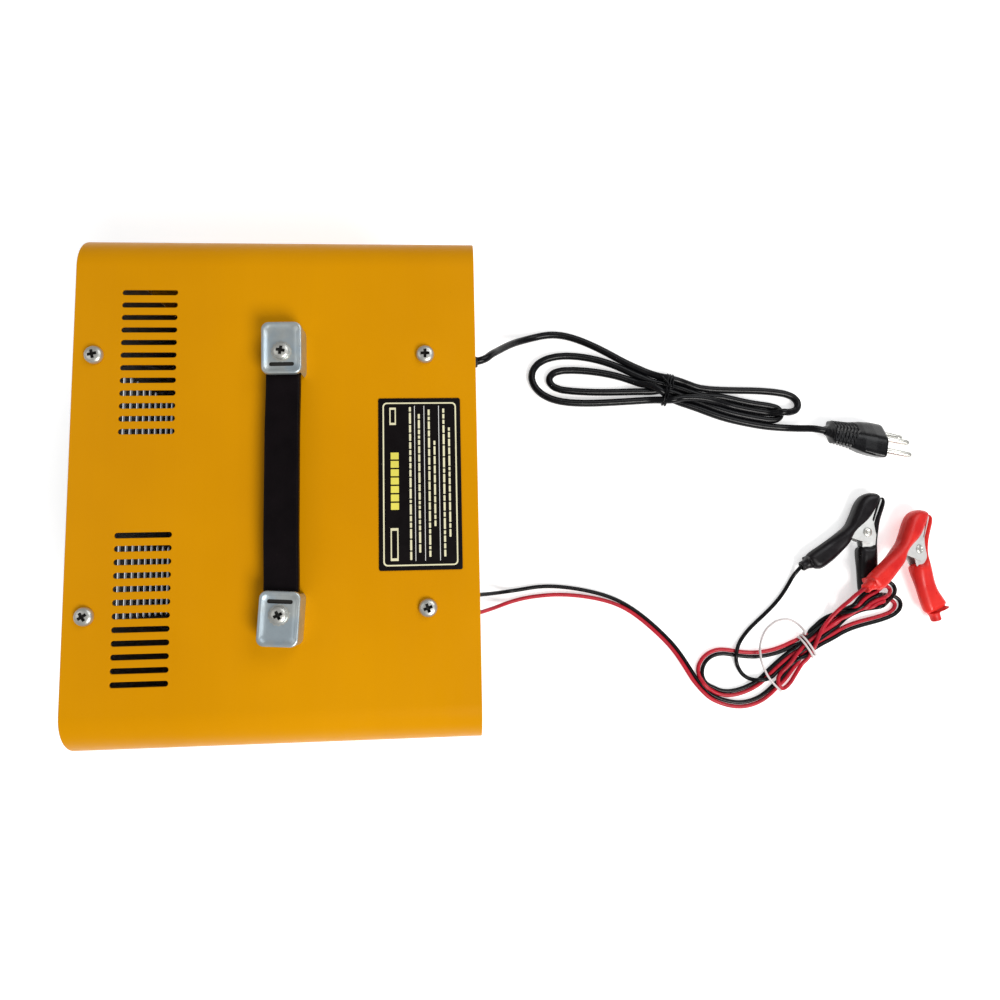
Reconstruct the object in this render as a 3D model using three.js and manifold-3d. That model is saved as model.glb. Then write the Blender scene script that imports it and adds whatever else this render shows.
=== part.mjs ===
// A transformer battery charger: a folded steel case with a strap handle, a recessed front panel
// with its controls, a mains lead with its plug, and two battery leads with booted clips.
// Millimetres, +Z up. The front faces -Y and the origin is on the floor under the case's centre.
import * as THREE from 'three';
import { mergeVertices } from 'three/addons/utils/BufferGeometryUtils.js';
import Module from 'manifold-3d';

const wasm = await Module();
wasm.setup();

// ---- driving dimensions ----
const CASE_W = 240;
const CASE_D = 184;
const CASE_H = 140;
const FOOT_H = 8;
const SHEET = 1;
const BEND_R = 18;
const GAP = 0.3;

const INNER_X = CASE_W / 2 - SHEET;
const INNER_TOP = CASE_H - SHEET;
const PANEL_X = INNER_X - GAP;
const PANEL_TOP = INNER_TOP - GAP;
const PANEL_SHEET = 1.2;
const TRAY_TOP = FOOT_H + PANEL_SHEET;
const PANEL_Z0 = TRAY_TOP + GAP;
const FRONT_FACE = -76;
const REAR_FACE = 90.7;
const FLANGE = 14.5;

const SLOT = { count: 12, width: 2.5, first: 23.6, last: 89.1, y0: 45.9, y1: 71 };
const REAR_SLOT = { rows: 10, z0: 32.7, pitch: 7.7, x0: 24, x1: 64, height: 3 };
const SCREW_X = 59.1;
const SCREW_Y = [82.3, -68.3];
const FOOT = { x: 100, y: 52, r: 9 };

const HANDLE = { x: -1.3, y: -4.2, screw: 58.8, capEnd: 72.5, capMouth: 48.4, capW: 18, capH: 11, strapW: 15.2 };
const LABEL = { x: -2, y: -65.3, w: 80, d: 38, t: 0.4 };

const METER = { x: 0, z: 93, w: 64, h: 56 };
const ROCKER = { x: 66, z: 98, tilt: 10 };
const SELECTOR = { x: 66, z: 66, travel: 6 };
const FUSE = { x: -66, z: 66 };
const LAMP = { x: -66, z: 98 };
const GLAND = { x: 88, z: 34, end: -97 };
const GROMMET = { x: -64, z: 33, pitch: 12 };

const MAINS_R = 2.4;
const LEAD_R = 1.3;
const MAINS_HANK_H = 9.6;
const LEAD_HANK_H = 5.4;

// ---- finishes ----
const finish = (color, roughness, metalness) => ({ color, roughness, metalness });
const YELLOW = finish(0xd88b05, 0.42, 0.3);
const ZINC = finish(0xb9c3cc, 0.3, 0.95);
const GALVANISED = finish(0x9aa0a4, 0.5, 0.8);
const STEEL = finish(0xc8ccd0, 0.3, 0.9);
const DARK_PANEL = finish(0x2a2b2d, 0.55, 0.2);
const BLACK_RUBBER = finish(0x0c0c0d, 0.5, 0);
const BLACK_PLASTIC = finish(0x141416, 0.45, 0);
const WHITE_CARD = finish(0xf2efe6, 0.7, 0);
const RED_PLASTIC = finish(0xc8201f, 0.4, 0);
const RED_VINYL = finish(0xe0262b, 0.4, 0);
const CLEAR = finish(0xdfe8ea, 0.1, 0);
const LABEL_BLACK = finish(0x101010, 0.4, 0);
const IRON = finish(0x3c3a38, 0.6, 0.6);
const COPPER = finish(0x9a4a22, 0.4, 0.7);
const ALUMINIUM = finish(0xb4b8ba, 0.4, 0.9);
const BRASS = finish(0xd6c68a, 0.25, 0.95);

const charger = new THREE.Group();

// ---- solids ----
function toSolid(geometry) {
  const bare = geometry.clone();
  bare.deleteAttribute('normal');
  bare.deleteAttribute('uv');
  const welded = mergeVertices(bare, 1e-4);
  const index = welded.index.array;
  const kept = [];
  for (let i = 0; i < index.length; i += 3) {
    const [a, b, c] = index.subarray(i, i + 3);
    if (a !== b && b !== c && c !== a) kept.push(a, b, c);
  }
  const vertProperties = new Float32Array(welded.attributes.position.array);
  const triVerts = new Uint32Array(kept);
  return new wasm.Manifold(new wasm.Mesh({ numProp: 3, vertProperties, triVerts }));
}

function toGeometry(solid) {
  const mesh = solid.getMesh();
  const geometry = new THREE.BufferGeometry();
  geometry.setAttribute('position', new THREE.BufferAttribute(mesh.vertProperties, 3));
  geometry.setIndex(new THREE.BufferAttribute(mesh.triVerts, 1));
  return geometry;
}

function add(name, shape, look, parent = charger) {
  const geometry = shape.isBufferGeometry ? shape : toGeometry(shape);
  const flat = geometry.index ? geometry.toNonIndexed() : geometry.clone();
  flat.computeVertexNormals();
  const mesh = new THREE.Mesh(flat, new THREE.MeshStandardMaterial(look));
  mesh.name = name;
  parent.add(mesh);
  return mesh;
}

const union = (first, ...others) => others.reduce((sum, one) => sum.add(one), first);
const cut = (first, ...others) => others.reduce((rest, one) => rest.subtract(one), first);

function box(x0, x1, y0, y1, z0, z1) {
  const geometry = new THREE.BoxGeometry(x1 - x0, y1 - y0, z1 - z0);
  geometry.translate((x0 + x1) / 2, (y0 + y1) / 2, (z0 + z1) / 2);
  return toSolid(geometry);
}

// Extrudes a shape drawn in X and Y from z0 up to z1.
function slab(shape, z0, z1, curveSegments = 6) {
  const geometry = new THREE.ExtrudeGeometry(shape, { depth: z1 - z0, bevelEnabled: false, curveSegments });
  geometry.translate(0, 0, z0);
  return toSolid(geometry);
}

// Extrudes a shape drawn in X and Z from y0 back to y1.
function upright(shape, y0, y1, curveSegments = 6) {
  const geometry = new THREE.ExtrudeGeometry(shape, { depth: y1 - y0, bevelEnabled: false, curveSegments });
  geometry.rotateX(Math.PI / 2);
  geometry.translate(0, y1, 0);
  return toSolid(geometry);
}

// Extrudes a shape drawn in Y and Z from x0 to x1.
function sideways(shape, x0, x1, curveSegments = 6) {
  const geometry = new THREE.ExtrudeGeometry(shape, { depth: x1 - x0, bevelEnabled: false, curveSegments });
  const basis = new THREE.Matrix4().makeBasis(
    new THREE.Vector3(0, 1, 0), new THREE.Vector3(0, 0, 1), new THREE.Vector3(1, 0, 0));
  geometry.applyMatrix4(basis);
  geometry.translate(x0, 0, 0);
  return toSolid(geometry);
}

const polygon = (points) => new THREE.Shape(points.map(([x, y]) => new THREE.Vector2(x, y)));

function roundedRect(cx, cy, w, h, r) {
  const shape = new THREE.Shape();
  const [x0, x1, y0, y1] = [cx - w / 2, cx + w / 2, cy - h / 2, cy + h / 2];
  shape.moveTo(x0 + r, y0);
  shape.lineTo(x1 - r, y0);
  shape.absarc(x1 - r, y0 + r, r, -Math.PI / 2, 0);
  shape.lineTo(x1, y1 - r);
  shape.absarc(x1 - r, y1 - r, r, 0, Math.PI / 2);
  shape.lineTo(x0 + r, y1);
  shape.absarc(x0 + r, y1 - r, r, Math.PI / 2, Math.PI);
  shape.lineTo(x0, y0 + r);
  shape.absarc(x0 + r, y0 + r, r, Math.PI, 1.5 * Math.PI);
  return shape;
}

// A rectangle with its corners cut off at 45 degrees.
function slotShape(cx, cy, w, h, c) {
  const [x0, x1, y0, y1] = [cx - w / 2, cx + w / 2, cy - h / 2, cy + h / 2];
  return polygon([[x0 + c, y0], [x1 - c, y0], [x1, y0 + c], [x1, y1 - c], [x1 - c, y1], [x0 + c, y1],
    [x0, y1 - c], [x0, y0 + c]]);
}

function disc(cx, cy, r) {
  const shape = new THREE.Shape();
  shape.absarc(cx, cy, r, 0, 2 * Math.PI);
  return shape;
}

// Turns a profile of [radius, height] pairs, which starts and ends on the axis, about Z.
function turned(profile, segments = 16) {
  const points = profile.map(([r, h]) => new THREE.Vector2(r, h));
  const geometry = new THREE.LatheGeometry(points, segments);
  geometry.rotateX(Math.PI / 2);
  return toSolid(geometry);
}

// The same about an axis along Y, with heights measured from the front face towards the front.
function turnedForward(profile, x, z, segments = 16) {
  return turned(profile, segments).rotate([90, 0, 0]).translate([x, FRONT_FACE, z]);
}

function tube(points, radius, steps, sides = 8) {
  const path = new THREE.CatmullRomCurve3(points.map((p) => new THREE.Vector3(...p)), false, 'centripetal');
  const section = new THREE.Shape();
  for (let i = 0; i < sides; i++) {
    const angle = (2 * Math.PI * i) / sides;
    const [x, y] = [radius * Math.cos(angle), radius * Math.sin(angle)];
    if (i === 0) section.moveTo(x, y);
    else section.lineTo(x, y);
  }
  return new THREE.ExtrudeGeometry(section, { steps, bevelEnabled: false, extrudePath: path });
}

// ---- case ----
function coverProfile() {
  const shape = new THREE.Shape();
  const outer = CASE_W / 2;
  const z0 = FOOT_H + 0.2;
  const arcZ = CASE_H - BEND_R;
  const arcX = outer - BEND_R;
  shape.moveTo(outer, z0);
  shape.lineTo(outer, arcZ);
  shape.absarc(arcX, arcZ, BEND_R, 0, Math.PI / 2);
  shape.lineTo(-arcX, CASE_H);
  shape.absarc(-arcX, arcZ, BEND_R, Math.PI / 2, Math.PI);
  shape.lineTo(-outer, z0);
  shape.lineTo(-INNER_X, z0);
  shape.lineTo(-INNER_X, arcZ);
  shape.absarc(-arcX, arcZ, BEND_R - SHEET, Math.PI, Math.PI / 2, true);
  shape.lineTo(arcX, INNER_TOP);
  shape.absarc(arcX, arcZ, BEND_R - SHEET, Math.PI / 2, 0, true);
  shape.lineTo(INNER_X, z0);
  return shape;
}

function makeCover() {
  let cover = upright(coverProfile(), -CASE_D / 2, CASE_D / 2, 8);
  const [low, high] = [INNER_TOP - 1, CASE_H + 1];
  const pitch = (SLOT.last - SLOT.first) / (SLOT.count - 1);
  const middle = (SLOT.y0 + SLOT.y1) / 2;
  for (const side of [-1, 1]) {
    for (let i = 0; i < SLOT.count; i++) {
      const x = side * (SLOT.first + i * pitch);
      cover = cover.subtract(slab(slotShape(x, middle, SLOT.width, SLOT.y1 - SLOT.y0, 0.8), low, high));
    }
    for (const y of SCREW_Y) cover = cover.subtract(slab(disc(side * SCREW_X, y, 2.3), low, high));
    const x = HANDLE.x + side * HANDLE.screw;
    cover = cover.subtract(slab(disc(x, HANDLE.y, 2.3), low, high));
  }
  add('top_cover', cover, YELLOW);
}

function panelOutline() {
  const r = BEND_R - SHEET - GAP;
  const shape = new THREE.Shape();
  shape.moveTo(-PANEL_X, PANEL_Z0);
  shape.lineTo(PANEL_X, PANEL_Z0);
  shape.lineTo(PANEL_X, PANEL_TOP - r);
  shape.absarc(PANEL_X - r, PANEL_TOP - r, r, 0, Math.PI / 2);
  shape.lineTo(-PANEL_X + r, PANEL_TOP);
  shape.absarc(-PANEL_X + r, PANEL_TOP - r, r, Math.PI / 2, Math.PI);
  return shape;
}

// A panel from y0 to y0 + sheet, with a top and a bottom flange that run inwards.
function makePanel(y0, inward, holes) {
  const outline = panelOutline();
  outline.holes.push(...holes);
  const plate = upright(outline, y0, y0 + PANEL_SHEET);
  const [a, b] = inward > 0 ? [y0 + 0.6, y0 + FLANGE] : [y0 + 0.6 - FLANGE, y0 + 0.6];
  const flangeX = PANEL_X - BEND_R;
  const top = box(-flangeX, flangeX, a, b, PANEL_TOP - PANEL_SHEET, PANEL_TOP);
  const bottom = box(-flangeX, flangeX, a, b, PANEL_Z0, PANEL_Z0 + PANEL_SHEET);
  const screwY = inward > 0 ? SCREW_Y[1] : SCREW_Y[0];
  const bores = [-1, 1].map((side) => slab(disc(side * SCREW_X, screwY, 2.2), PANEL_TOP - 3, PANEL_TOP + 1));
  return cut(union(plate, top, bottom), ...bores);
}

function makeRearPanel() {
  const holes = [];
  const { rows, z0, pitch, x0, x1, height } = REAR_SLOT;
  for (const side of [-1, 1]) {
    for (let row = 0; row < rows; row++) {
      const x = (side * (x0 + x1)) / 2;
      holes.push(slotShape(x, z0 + row * pitch, x1 - x0, height, 1));
    }
  }
  add('rear_panel', makePanel(REAR_FACE - PANEL_SHEET, -1, holes), GALVANISED);
}

function makeFrontPanel() {
  const holes = [
    disc(METER.x, METER.z, 23.2),
    roundedRect(ROCKER.x, ROCKER.z, 22, 28, 1),
    roundedRect(SELECTOR.x, SELECTOR.z, 18.6, 10.6, 1),
    disc(FUSE.x, FUSE.z, 7.2),
    disc(LAMP.x, LAMP.z, 4.3),
    disc(GLAND.x, GLAND.z, 6.9),
    roundedRect(GROMMET.x, GROMMET.z, 21, 9, 4.4),
  ];
  add('front_panel', makePanel(FRONT_FACE, 1, holes), DARK_PANEL);
}

function makeTray() {
  const [y0, y1] = [FRONT_FACE, REAR_FACE];
  const lipTop = FOOT_H + 18;
  let tray = box(-PANEL_X, PANEL_X, y0, y1, FOOT_H, TRAY_TOP);
  for (const side of [-1, 1]) {
    const [a, b] = side > 0 ? [PANEL_X - PANEL_SHEET, PANEL_X] : [-PANEL_X, -PANEL_X + PANEL_SHEET];
    tray = tray.add(box(a, b, y0 + 2, y1 - 2, FOOT_H, lipTop));
    for (const y of [-FOOT.y, FOOT.y]) tray = tray.subtract(slab(disc(side * FOOT.x, y, 3), 0, 20));
    for (let i = 0; i < 4; i++) {
      const x = side * (52 + i * 10);
      tray = tray.subtract(slab(slotShape(x, 10, 3, 50, 1), 0, 20));
    }
  }
  add('base_tray', tray, GALVANISED);
}

function makeFeet() {
  const profile = [[0, 0], [FOOT.r - 0.8, 0], [FOOT.r, 1], [FOOT.r - 1, FOOT_H - GAP], [2.7, FOOT_H - GAP],
    [2.7, TRAY_TOP + GAP], [3.9, TRAY_TOP + GAP], [2.6, TRAY_TOP + 3], [0, TRAY_TOP + 3]];
  const corners = { front_left: [-1, -1], front_right: [1, -1], rear_left: [-1, 1], rear_right: [1, 1] };
  for (const [corner, [sx, sy]] of Object.entries(corners)) {
    add(`foot_${corner}`, turned(profile).translate([sx * FOOT.x, sy * FOOT.y, 0]), BLACK_RUBBER);
  }
}

// A pan head screw standing on z = 0 with a cross recess and its shank below.
function panScrew(headR, headH, shankR, length) {
  const body = turned([[0, -length], [shankR - 0.6, -length], [shankR, 1 - length], [shankR, 0],
    [headR, 0], [headR, headH * 0.35], [headR * 0.86, headH * 0.72], [headR * 0.55, headH * 0.95],
    [0, headH]], 12);
  const reach = headR * 0.55;
  const [low, high] = [headH * 0.35, headH + 1];
  return cut(body, box(-reach, reach, -0.45, 0.45, low, high), box(-0.45, 0.45, -reach, reach, low, high));
}

function makeCoverScrews() {
  for (const [row, y] of [['rear', SCREW_Y[0]], ['front', SCREW_Y[1]]]) {
    for (const [hand, side] of [['left', -1], ['right', 1]]) {
      const turn = 20 + 35 * (side + 1) + (row === 'rear' ? 12 : 0);
      const screw = panScrew(4.2, 2.7, 1.9, 9).rotate([0, 0, turn]);
      add(`cover_screw_${row}_${hand}`, screw.translate([side * SCREW_X, y, CASE_H + 0.1]), ZINC);
    }
  }
}

// ---- handle ----
function makeHandleCap(side) {
  const { capEnd, capMouth, capW, capH, screw } = HANDLE;
  const length = capEnd - capMouth;
  const middle = (capEnd + capMouth) / 2;
  const z0 = CASE_H + 0.1;
  const top = CASE_H + capH;
  const shell = slab(roundedRect(middle, 0, length, capW, 3.5), z0, top, 3);
  const inside = slab(roundedRect(middle, 0, length - 2.2, capW - 2.2, 2.6), z0 - 1, top - 2, 3);
  const dish = slab(roundedRect(middle, 0, length - 4, capW - 4, 2), top - 1, top + 1, 3);
  const mouthHalf = HANDLE.strapW / 2 + 0.4;
  const mouth = box(capMouth - 1, capMouth + 4, -mouthHalf, mouthHalf, z0 - 1, top - 2);
  const bore = slab(disc(screw, 0, 2.3), z0, top + 1);
  const groove = slab(roundedRect(capMouth + 4.6, 0, 1.8, 11, 0.8), top - 1.5, top + 1, 2);
  let cap = cut(shell, inside, dish, mouth, bore, groove);
  if (side < 0) cap = cap.rotate([0, 0, 180]);
  return cap.translate([HANDLE.x, HANDLE.y, 0]);
}

// The strap lies low between its caps, and its slotted ends slide under them when it is pulled up.
function makeStrap() {
  const end = HANDLE.capEnd - 4.5;
  const [low, high] = [CASE_H + 3.6, CASE_H + 7.8];
  const rise = 1.3;
  const shape = new THREE.Shape();
  shape.moveTo(-end, low);
  shape.lineTo(-HANDLE.capMouth + 2, low);
  shape.quadraticCurveTo(-26, low + rise, -20, low + rise);
  shape.lineTo(20, low + rise);
  shape.quadraticCurveTo(26, low + rise, HANDLE.capMouth - 2, low);
  shape.lineTo(end, low);
  shape.lineTo(end, high);
  shape.lineTo(HANDLE.capMouth - 2, high);
  shape.quadraticCurveTo(26, high + rise, 20, high + rise);
  shape.lineTo(-20, high + rise);
  shape.quadraticCurveTo(-26, high + rise, -HANDLE.capMouth + 2, high);
  shape.lineTo(-end, high);
  const half = HANDLE.strapW / 2;
  const strap = upright(shape, -half, half, 4);
  const slots = [-1, 1].map((side) =>
    slab(roundedRect(side * HANDLE.screw, 0, 13, 5.6, 2.7), CASE_H, CASE_H + 12, 3));
  add('handle_strap', cut(strap, ...slots).translate([HANDLE.x, HANDLE.y, 0]), BLACK_RUBBER);
}

function makeHandle() {
  makeStrap();
  for (const [hand, side, turn] of [['left', -1, 25], ['right', 1, -10]]) {
    add(`handle_cap_${hand}`, makeHandleCap(side), ZINC);
    const screw = panScrew(4, 2.6, 2, 17).rotate([0, 0, turn]);
    const seat = CASE_H + HANDLE.capH - 1 + 0.1;
    add(`handle_screw_${hand}`, screw.translate([HANDLE.x + side * HANDLE.screw, HANDLE.y, seat]), ZINC);
  }
}

function makeLabel() {
  const outline = roundedRect(LABEL.x, LABEL.y, LABEL.w, LABEL.d, 1);
  add('label_plate', slab(outline, CASE_H + 0.1, CASE_H + 0.1 + LABEL.t, 3), LABEL_BLACK);
}

// ---- front panel controls ----
function makeMeter() {
  const front = FRONT_FACE - GAP;
  const face = front - 6.7;
  const floor = face + 5;
  const block = upright(roundedRect(METER.x, METER.z, METER.w, METER.h, 3), face, front, 3);
  const barrel = upright(disc(METER.x, METER.z, 22), front - 1, front + 26, 12);
  const bay = upright(roundedRect(METER.x, METER.z, 56, 48, 1), face - 1, floor, 3);
  add('meter_case', cut(union(block, barrel), bay), BLACK_PLASTIC);
  add('meter_dial', box(METER.x - 27.5, METER.x + 27.5, floor - 0.9, floor - 0.3,
    METER.z - 23.5, METER.z + 23.5), WHITE_CARD);
  add('meter_window', box(METER.x - 27.7, METER.x + 27.7, face + 0.1, face + 1.1,
    METER.z - 23.7, METER.z + 23.7), CLEAR);
  const hub = upright(disc(0, 0, 2.6), 0, 1.4);
  const blade = box(-0.4, 0.4, 0.5, 0.9, -7, 27);
  const needle = union(hub, blade).rotate([0, -42, 0]);
  add('meter_needle', needle.translate([METER.x, face + 2, METER.z - 12]), BLACK_PLASTIC);
}

function makeRocker() {
  const front = FRONT_FACE - GAP;
  const flange = upright(roundedRect(ROCKER.x, ROCKER.z, 26, 32, 2), front - 2, front, 3);
  const body = upright(roundedRect(ROCKER.x, ROCKER.z, 21.4, 27.4, 0.8), front - 1, front + 24, 3);
  const bay = upright(roundedRect(ROCKER.x, ROCKER.z, 17, 23.4, 0.5), front - 3, front + 12, 3);
  add('switch_housing', cut(union(flange, body), bay), BLACK_PLASTIC);
  const profile = polygon([[-6, 10], [-3.4, 0], [-6, -10], [-3, -10.2], [3, -4], [3, 4], [-3, 10.2]]);
  const rocker = sideways(profile, -8, 8).rotate([ROCKER.tilt, 0, 0]);
  add('power_rocker', rocker.translate([ROCKER.x, front + 1.5, ROCKER.z]), RED_PLASTIC);
}

function makeSelector() {
  const front = FRONT_FACE - GAP;
  const { x, z, travel } = SELECTOR;
  const flange = upright(roundedRect(x, z, 30, 16, 1.5), front - 1.5, front, 3);
  const body = upright(roundedRect(x, z, 18, 10, 0.8), front - 1, front + 9, 3);
  const bay = upright(roundedRect(x, z, 13.4, 6, 0.5), front - 2, front + 4, 3);
  add('selector_body', cut(union(flange, body), bay), BLACK_PLASTIC);
  const knob = union(
    box(-3.2, 3.2, front - 0.6, front + 3.4, -2.6, 2.6),
    box(-2.2, 2.2, front - 2.6, front, -2.2, 2.2));
  add('selector_slider', knob.translate([x - travel / 2, 0, z]), RED_PLASTIC);
}

function makeFuse() {
  const holder = turnedForward([[0, -30], [6.6, -30], [6.6, GAP], [9.5, GAP], [9.5, 2.2], [5.4, 2.2],
    [5.4, -14], [0, -14]], FUSE.x, FUSE.z);
  add('fuse_holder', holder, BLACK_PLASTIC);
  const cap = turnedForward([[0, -13], [4.8, -13], [4.8, 2.6], [7.8, 2.6], [8, 4], [7.4, 11], [6.6, 12],
    [0, 12]], FUSE.x, FUSE.z, 20);
  const face = FRONT_FACE - 12;
  const slot = box(FUSE.x - 4.5, FUSE.x + 4.5, face - 1, face + 1.6, FUSE.z - 0.7, FUSE.z + 0.7);
  add('fuse_cap', cut(cap, slot), BLACK_PLASTIC);
}

function makeLamp() {
  const lamp = turnedForward([[0, -14], [3.9, -14], [3.9, GAP], [6, GAP], [6, 1.6], [4.2, 2.2], [3.6, 4.4],
    [2.2, 5.8], [0, 6.3]], LAMP.x, LAMP.z);
  add('charge_lamp', lamp, RED_PLASTIC);
}

function makeOutlets() {
  const reach = FRONT_FACE - GLAND.end;
  const gland = turnedForward([[0, -5], [7.6, -5], [8.4, -1.5], [6.3, -1.5], [6.3, GAP], [8.6, GAP],
    [8.6, 2.6], [5.6, 4], [5.6, 7], [4.8, 7.6], [4.8, 9], [5.2, 9.6], [5.2, 12], [4.3, 12.6], [4.3, 14],
    [4.6, 14.6], [4.2, 17.4], [3.6, 18], [3.3, reach], [0, reach]], GLAND.x, GLAND.z, 12);
  add('mains_strain_relief', gland, BLACK_RUBBER);
  const { x, z } = GROMMET;
  const grommet = union(
    upright(roundedRect(x, z, 26, 14, 6.5), FRONT_FACE - GAP - 3, FRONT_FACE - GAP, 5),
    upright(roundedRect(x, z, 20.4, 8.4, 4.1), FRONT_FACE - GAP - 1, FRONT_FACE + PANEL_SHEET + GAP + 1, 5),
    upright(roundedRect(x, z, 25, 13, 6), FRONT_FACE + PANEL_SHEET + GAP, FRONT_FACE + PANEL_SHEET + GAP + 3, 5));
  add('lead_grommet', grommet, BLACK_RUBBER);
}

// ---- inside ----
function makeTransformer() {
  const floor = TRAY_TOP + GAP;
  const [y0, y1] = [-48, -4];
  const height = 68;
  const outline = roundedRect(0, floor + height / 2, 82, height, 1);
  for (const side of [-1, 1]) outline.holes.push(roundedRect(side * 20.5, floor + height / 2, 13, 41, 0.5));
  add('transformer_core', upright(outline, y0, y1, 2), IRON);
  const middle = (y0 + y1) / 2;
  const depth = (y1 - y0) / 2;
  const winding = roundedRect(0, middle, 53, 2 * depth + 25, 6);
  winding.holes.push(roundedRect(0, middle, 28.8, 2 * depth + 1, 0.8));
  const coilMid = floor + height / 2;
  add('transformer_coil', slab(winding, coilMid - 20, coilMid + 20), COPPER);
}

function makeRectifier() {
  const floor = TRAY_TOP + GAP;
  const points = [[-62, -34], [-62, 38]];
  const fins = 8;
  for (let i = 0; i < fins; i++) {
    const y = 38 - i * 10;
    points.push([-100, y], [-100, y - 2]);
    if (i < fins - 1) points.push([-66, y - 2], [-66, y - 10]);
  }
  add('heat_sink', slab(polygon(points.reverse()), floor, floor + 56), ALUMINIUM);
  const block = box(-61.7, -52, -12, 16, floor + 14, floor + 42);
  const tabs = [[-6, 20], [-6, 34], [8, 20], [8, 34]].map(([y, z]) =>
    box(-52.5, -44.5, y - 0.4, y + 0.4, floor + z - 3, floor + z + 3));
  add('bridge_rectifier', union(block, ...tabs), BLACK_PLASTIC);
}

function makeBreaker() {
  const floor = TRAY_TOP + GAP;
  const body = box(66, 84, -30, 2, floor, floor + 14);
  const blades = [-24, -4].map((y) => box(72, 78, y - 0.4, y + 0.4, floor + 13, floor + 22));
  add('thermal_breaker', union(body, ...blades), BLACK_PLASTIC);
}

// ---- mains lead ----
const MAINS_RUN = [
  [GLAND.x, GLAND.end - GAP, GLAND.z],
  [88.1, -101, 33.9], [94, -106.5, 31.5], [104.5, -114, 24.5], [114, -127, 12.5],
  [118.5, -141, 4.6], [117, -157, MAINS_R + 0.1], [113.2, -168, MAINS_R + 0.1], [109.2, -177.5, MAINS_R + 0.1],
];
const MAINS_HANK = [
  [112, -180], [103, -193], [88.8, -213], [83, -230], [79.5, -242], [78.6, -262], [78.4, -300], [75, -318],
  [68, -325], [61, -323.5], [57, -312], [56.8, -292.2], [50.2, -291.6], [56.5, -266], [66, -235], [67, -209.7],
  [66.2, -190], [65.9, -168], [68, -149.8], [75.9, -137], [88.9, -131.7], [99, -137.6], [104.6, -150],
  [105.6, -176],
];
const MAINS_TAIL = [
  [53.1, -292.4, MAINS_R + 0.1], [51.6, -301, MAINS_R + 0.1], [50.4, -311, 4.4], [48.6, -321, 9],
];

const PLUG = { x: 38.8, y: -369.4, z: 11.85, heading: 11.6, length: 39, slope: 41, pinPitch: 9.5, pinLength: 19 };

// Rings of equal length, skinned along their order and closed with a fan at each end.
function loft(rings) {
  const count = rings[0].length;
  const centre = (ring) => ring.reduce((sum, p) => sum.add(p), new THREE.Vector3()).divideScalar(count);
  const points = [...rings.flat(), centre(rings[0]), centre(rings[rings.length - 1])];
  const first = points.length - 2;
  const last = points.length - 1;
  const index = [];
  for (let r = 0; r < rings.length - 1; r++) {
    for (let i = 0; i < count; i++) {
      const [a, b] = [r * count + i, r * count + ((i + 1) % count)];
      index.push(a, b, b + count, a, b + count, a + count);
    }
  }
  const top = (rings.length - 1) * count;
  for (let i = 0; i < count; i++) {
    const next = (i + 1) % count;
    index.push(first, next, i, last, top + i, top + next);
  }
  const geometry = new THREE.BufferGeometry().setFromPoints(points);
  geometry.setIndex(index);
  return toSolid(geometry);
}

// The plug's section is a long hexagon, and it lies on one of its four slanted faces.
function plugRing(along, size) {
  const half = [[18, 0], [8.5, 8.25], [-8.5, 8.25]];
  const corners = [...half, ...half.map(([a, b]) => [-a, -b])];
  const round = corners.flatMap(([a, b], i) => {
    const [pa, pb] = corners[(i + 5) % 6];
    const [na, nb] = corners[(i + 1) % 6];
    const ease = 0.14;
    return [[a + (pa - a) * ease, b + (pb - b) * ease], [a + (na - a) * ease, b + (nb - b) * ease]];
  });
  return round.map(([a, b]) => new THREE.Vector3(a * size, b * size, along));
}

function makePlug() {
  const group = new THREE.Group();
  const sections = [[0, 0.26], [2.5, 0.34], [4.5, 0.68], [16, 0.76], [24, 0.93], [31, 1], [38, 1], [39, 0.95]];
  const { length, pinPitch, pinLength } = PLUG;
  add('plug_body', loft(sections.map(([along, size]) => plugRing(along - length, size))), BLACK_PLASTIC, group);
  const pin = [[0, 0], [2, 0], [2, pinLength - 1.4], [1.1, pinLength], [0, pinLength]];
  const places = { plug_pin_line: [pinPitch, 0], plug_pin_earth: [0, -3], plug_pin_neutral: [-pinPitch, 0] };
  for (const [name, [a, b]] of Object.entries(places)) {
    add(name, turned(pin, 10).translate([a, b, GAP]), BRASS, group);
  }
  const slope = THREE.MathUtils.degToRad(PLUG.slope);
  const heading = THREE.MathUtils.degToRad(PLUG.heading);
  const forward = new THREE.Vector3(-Math.sin(heading), -Math.cos(heading), 0);
  const lateral = new THREE.Vector3(Math.cos(heading), -Math.sin(heading), 0);
  const up = new THREE.Vector3(0, 0, 1);
  const across = lateral.clone().multiplyScalar(-Math.cos(slope)).addScaledVector(up, Math.sin(slope));
  const through = new THREE.Vector3().crossVectors(forward, across);
  group.applyMatrix4(new THREE.Matrix4().makeBasis(across, through, forward).setPosition(PLUG.x, PLUG.y, PLUG.z));
  charger.add(group);
}

function makeMainsLead() {
  const { x, y, z, heading, length } = PLUG;
  const turn = THREE.MathUtils.degToRad(heading);
  const back = (distance) => [x + Math.sin(turn) * distance, y + Math.cos(turn) * distance, z];
  const tail = [...MAINS_TAIL, back(length + 4), back(length + GAP)];
  add('mains_cord_run', tube(MAINS_RUN, MAINS_R, 12), BLACK_RUBBER);
  add('mains_cord_hank', slab(polygon(MAINS_HANK.slice().reverse()), 0, MAINS_HANK_H), BLACK_RUBBER);
  add('mains_cord_tail', tube(tail, MAINS_R, 8), BLACK_RUBBER);
  makePlug();
}

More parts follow.
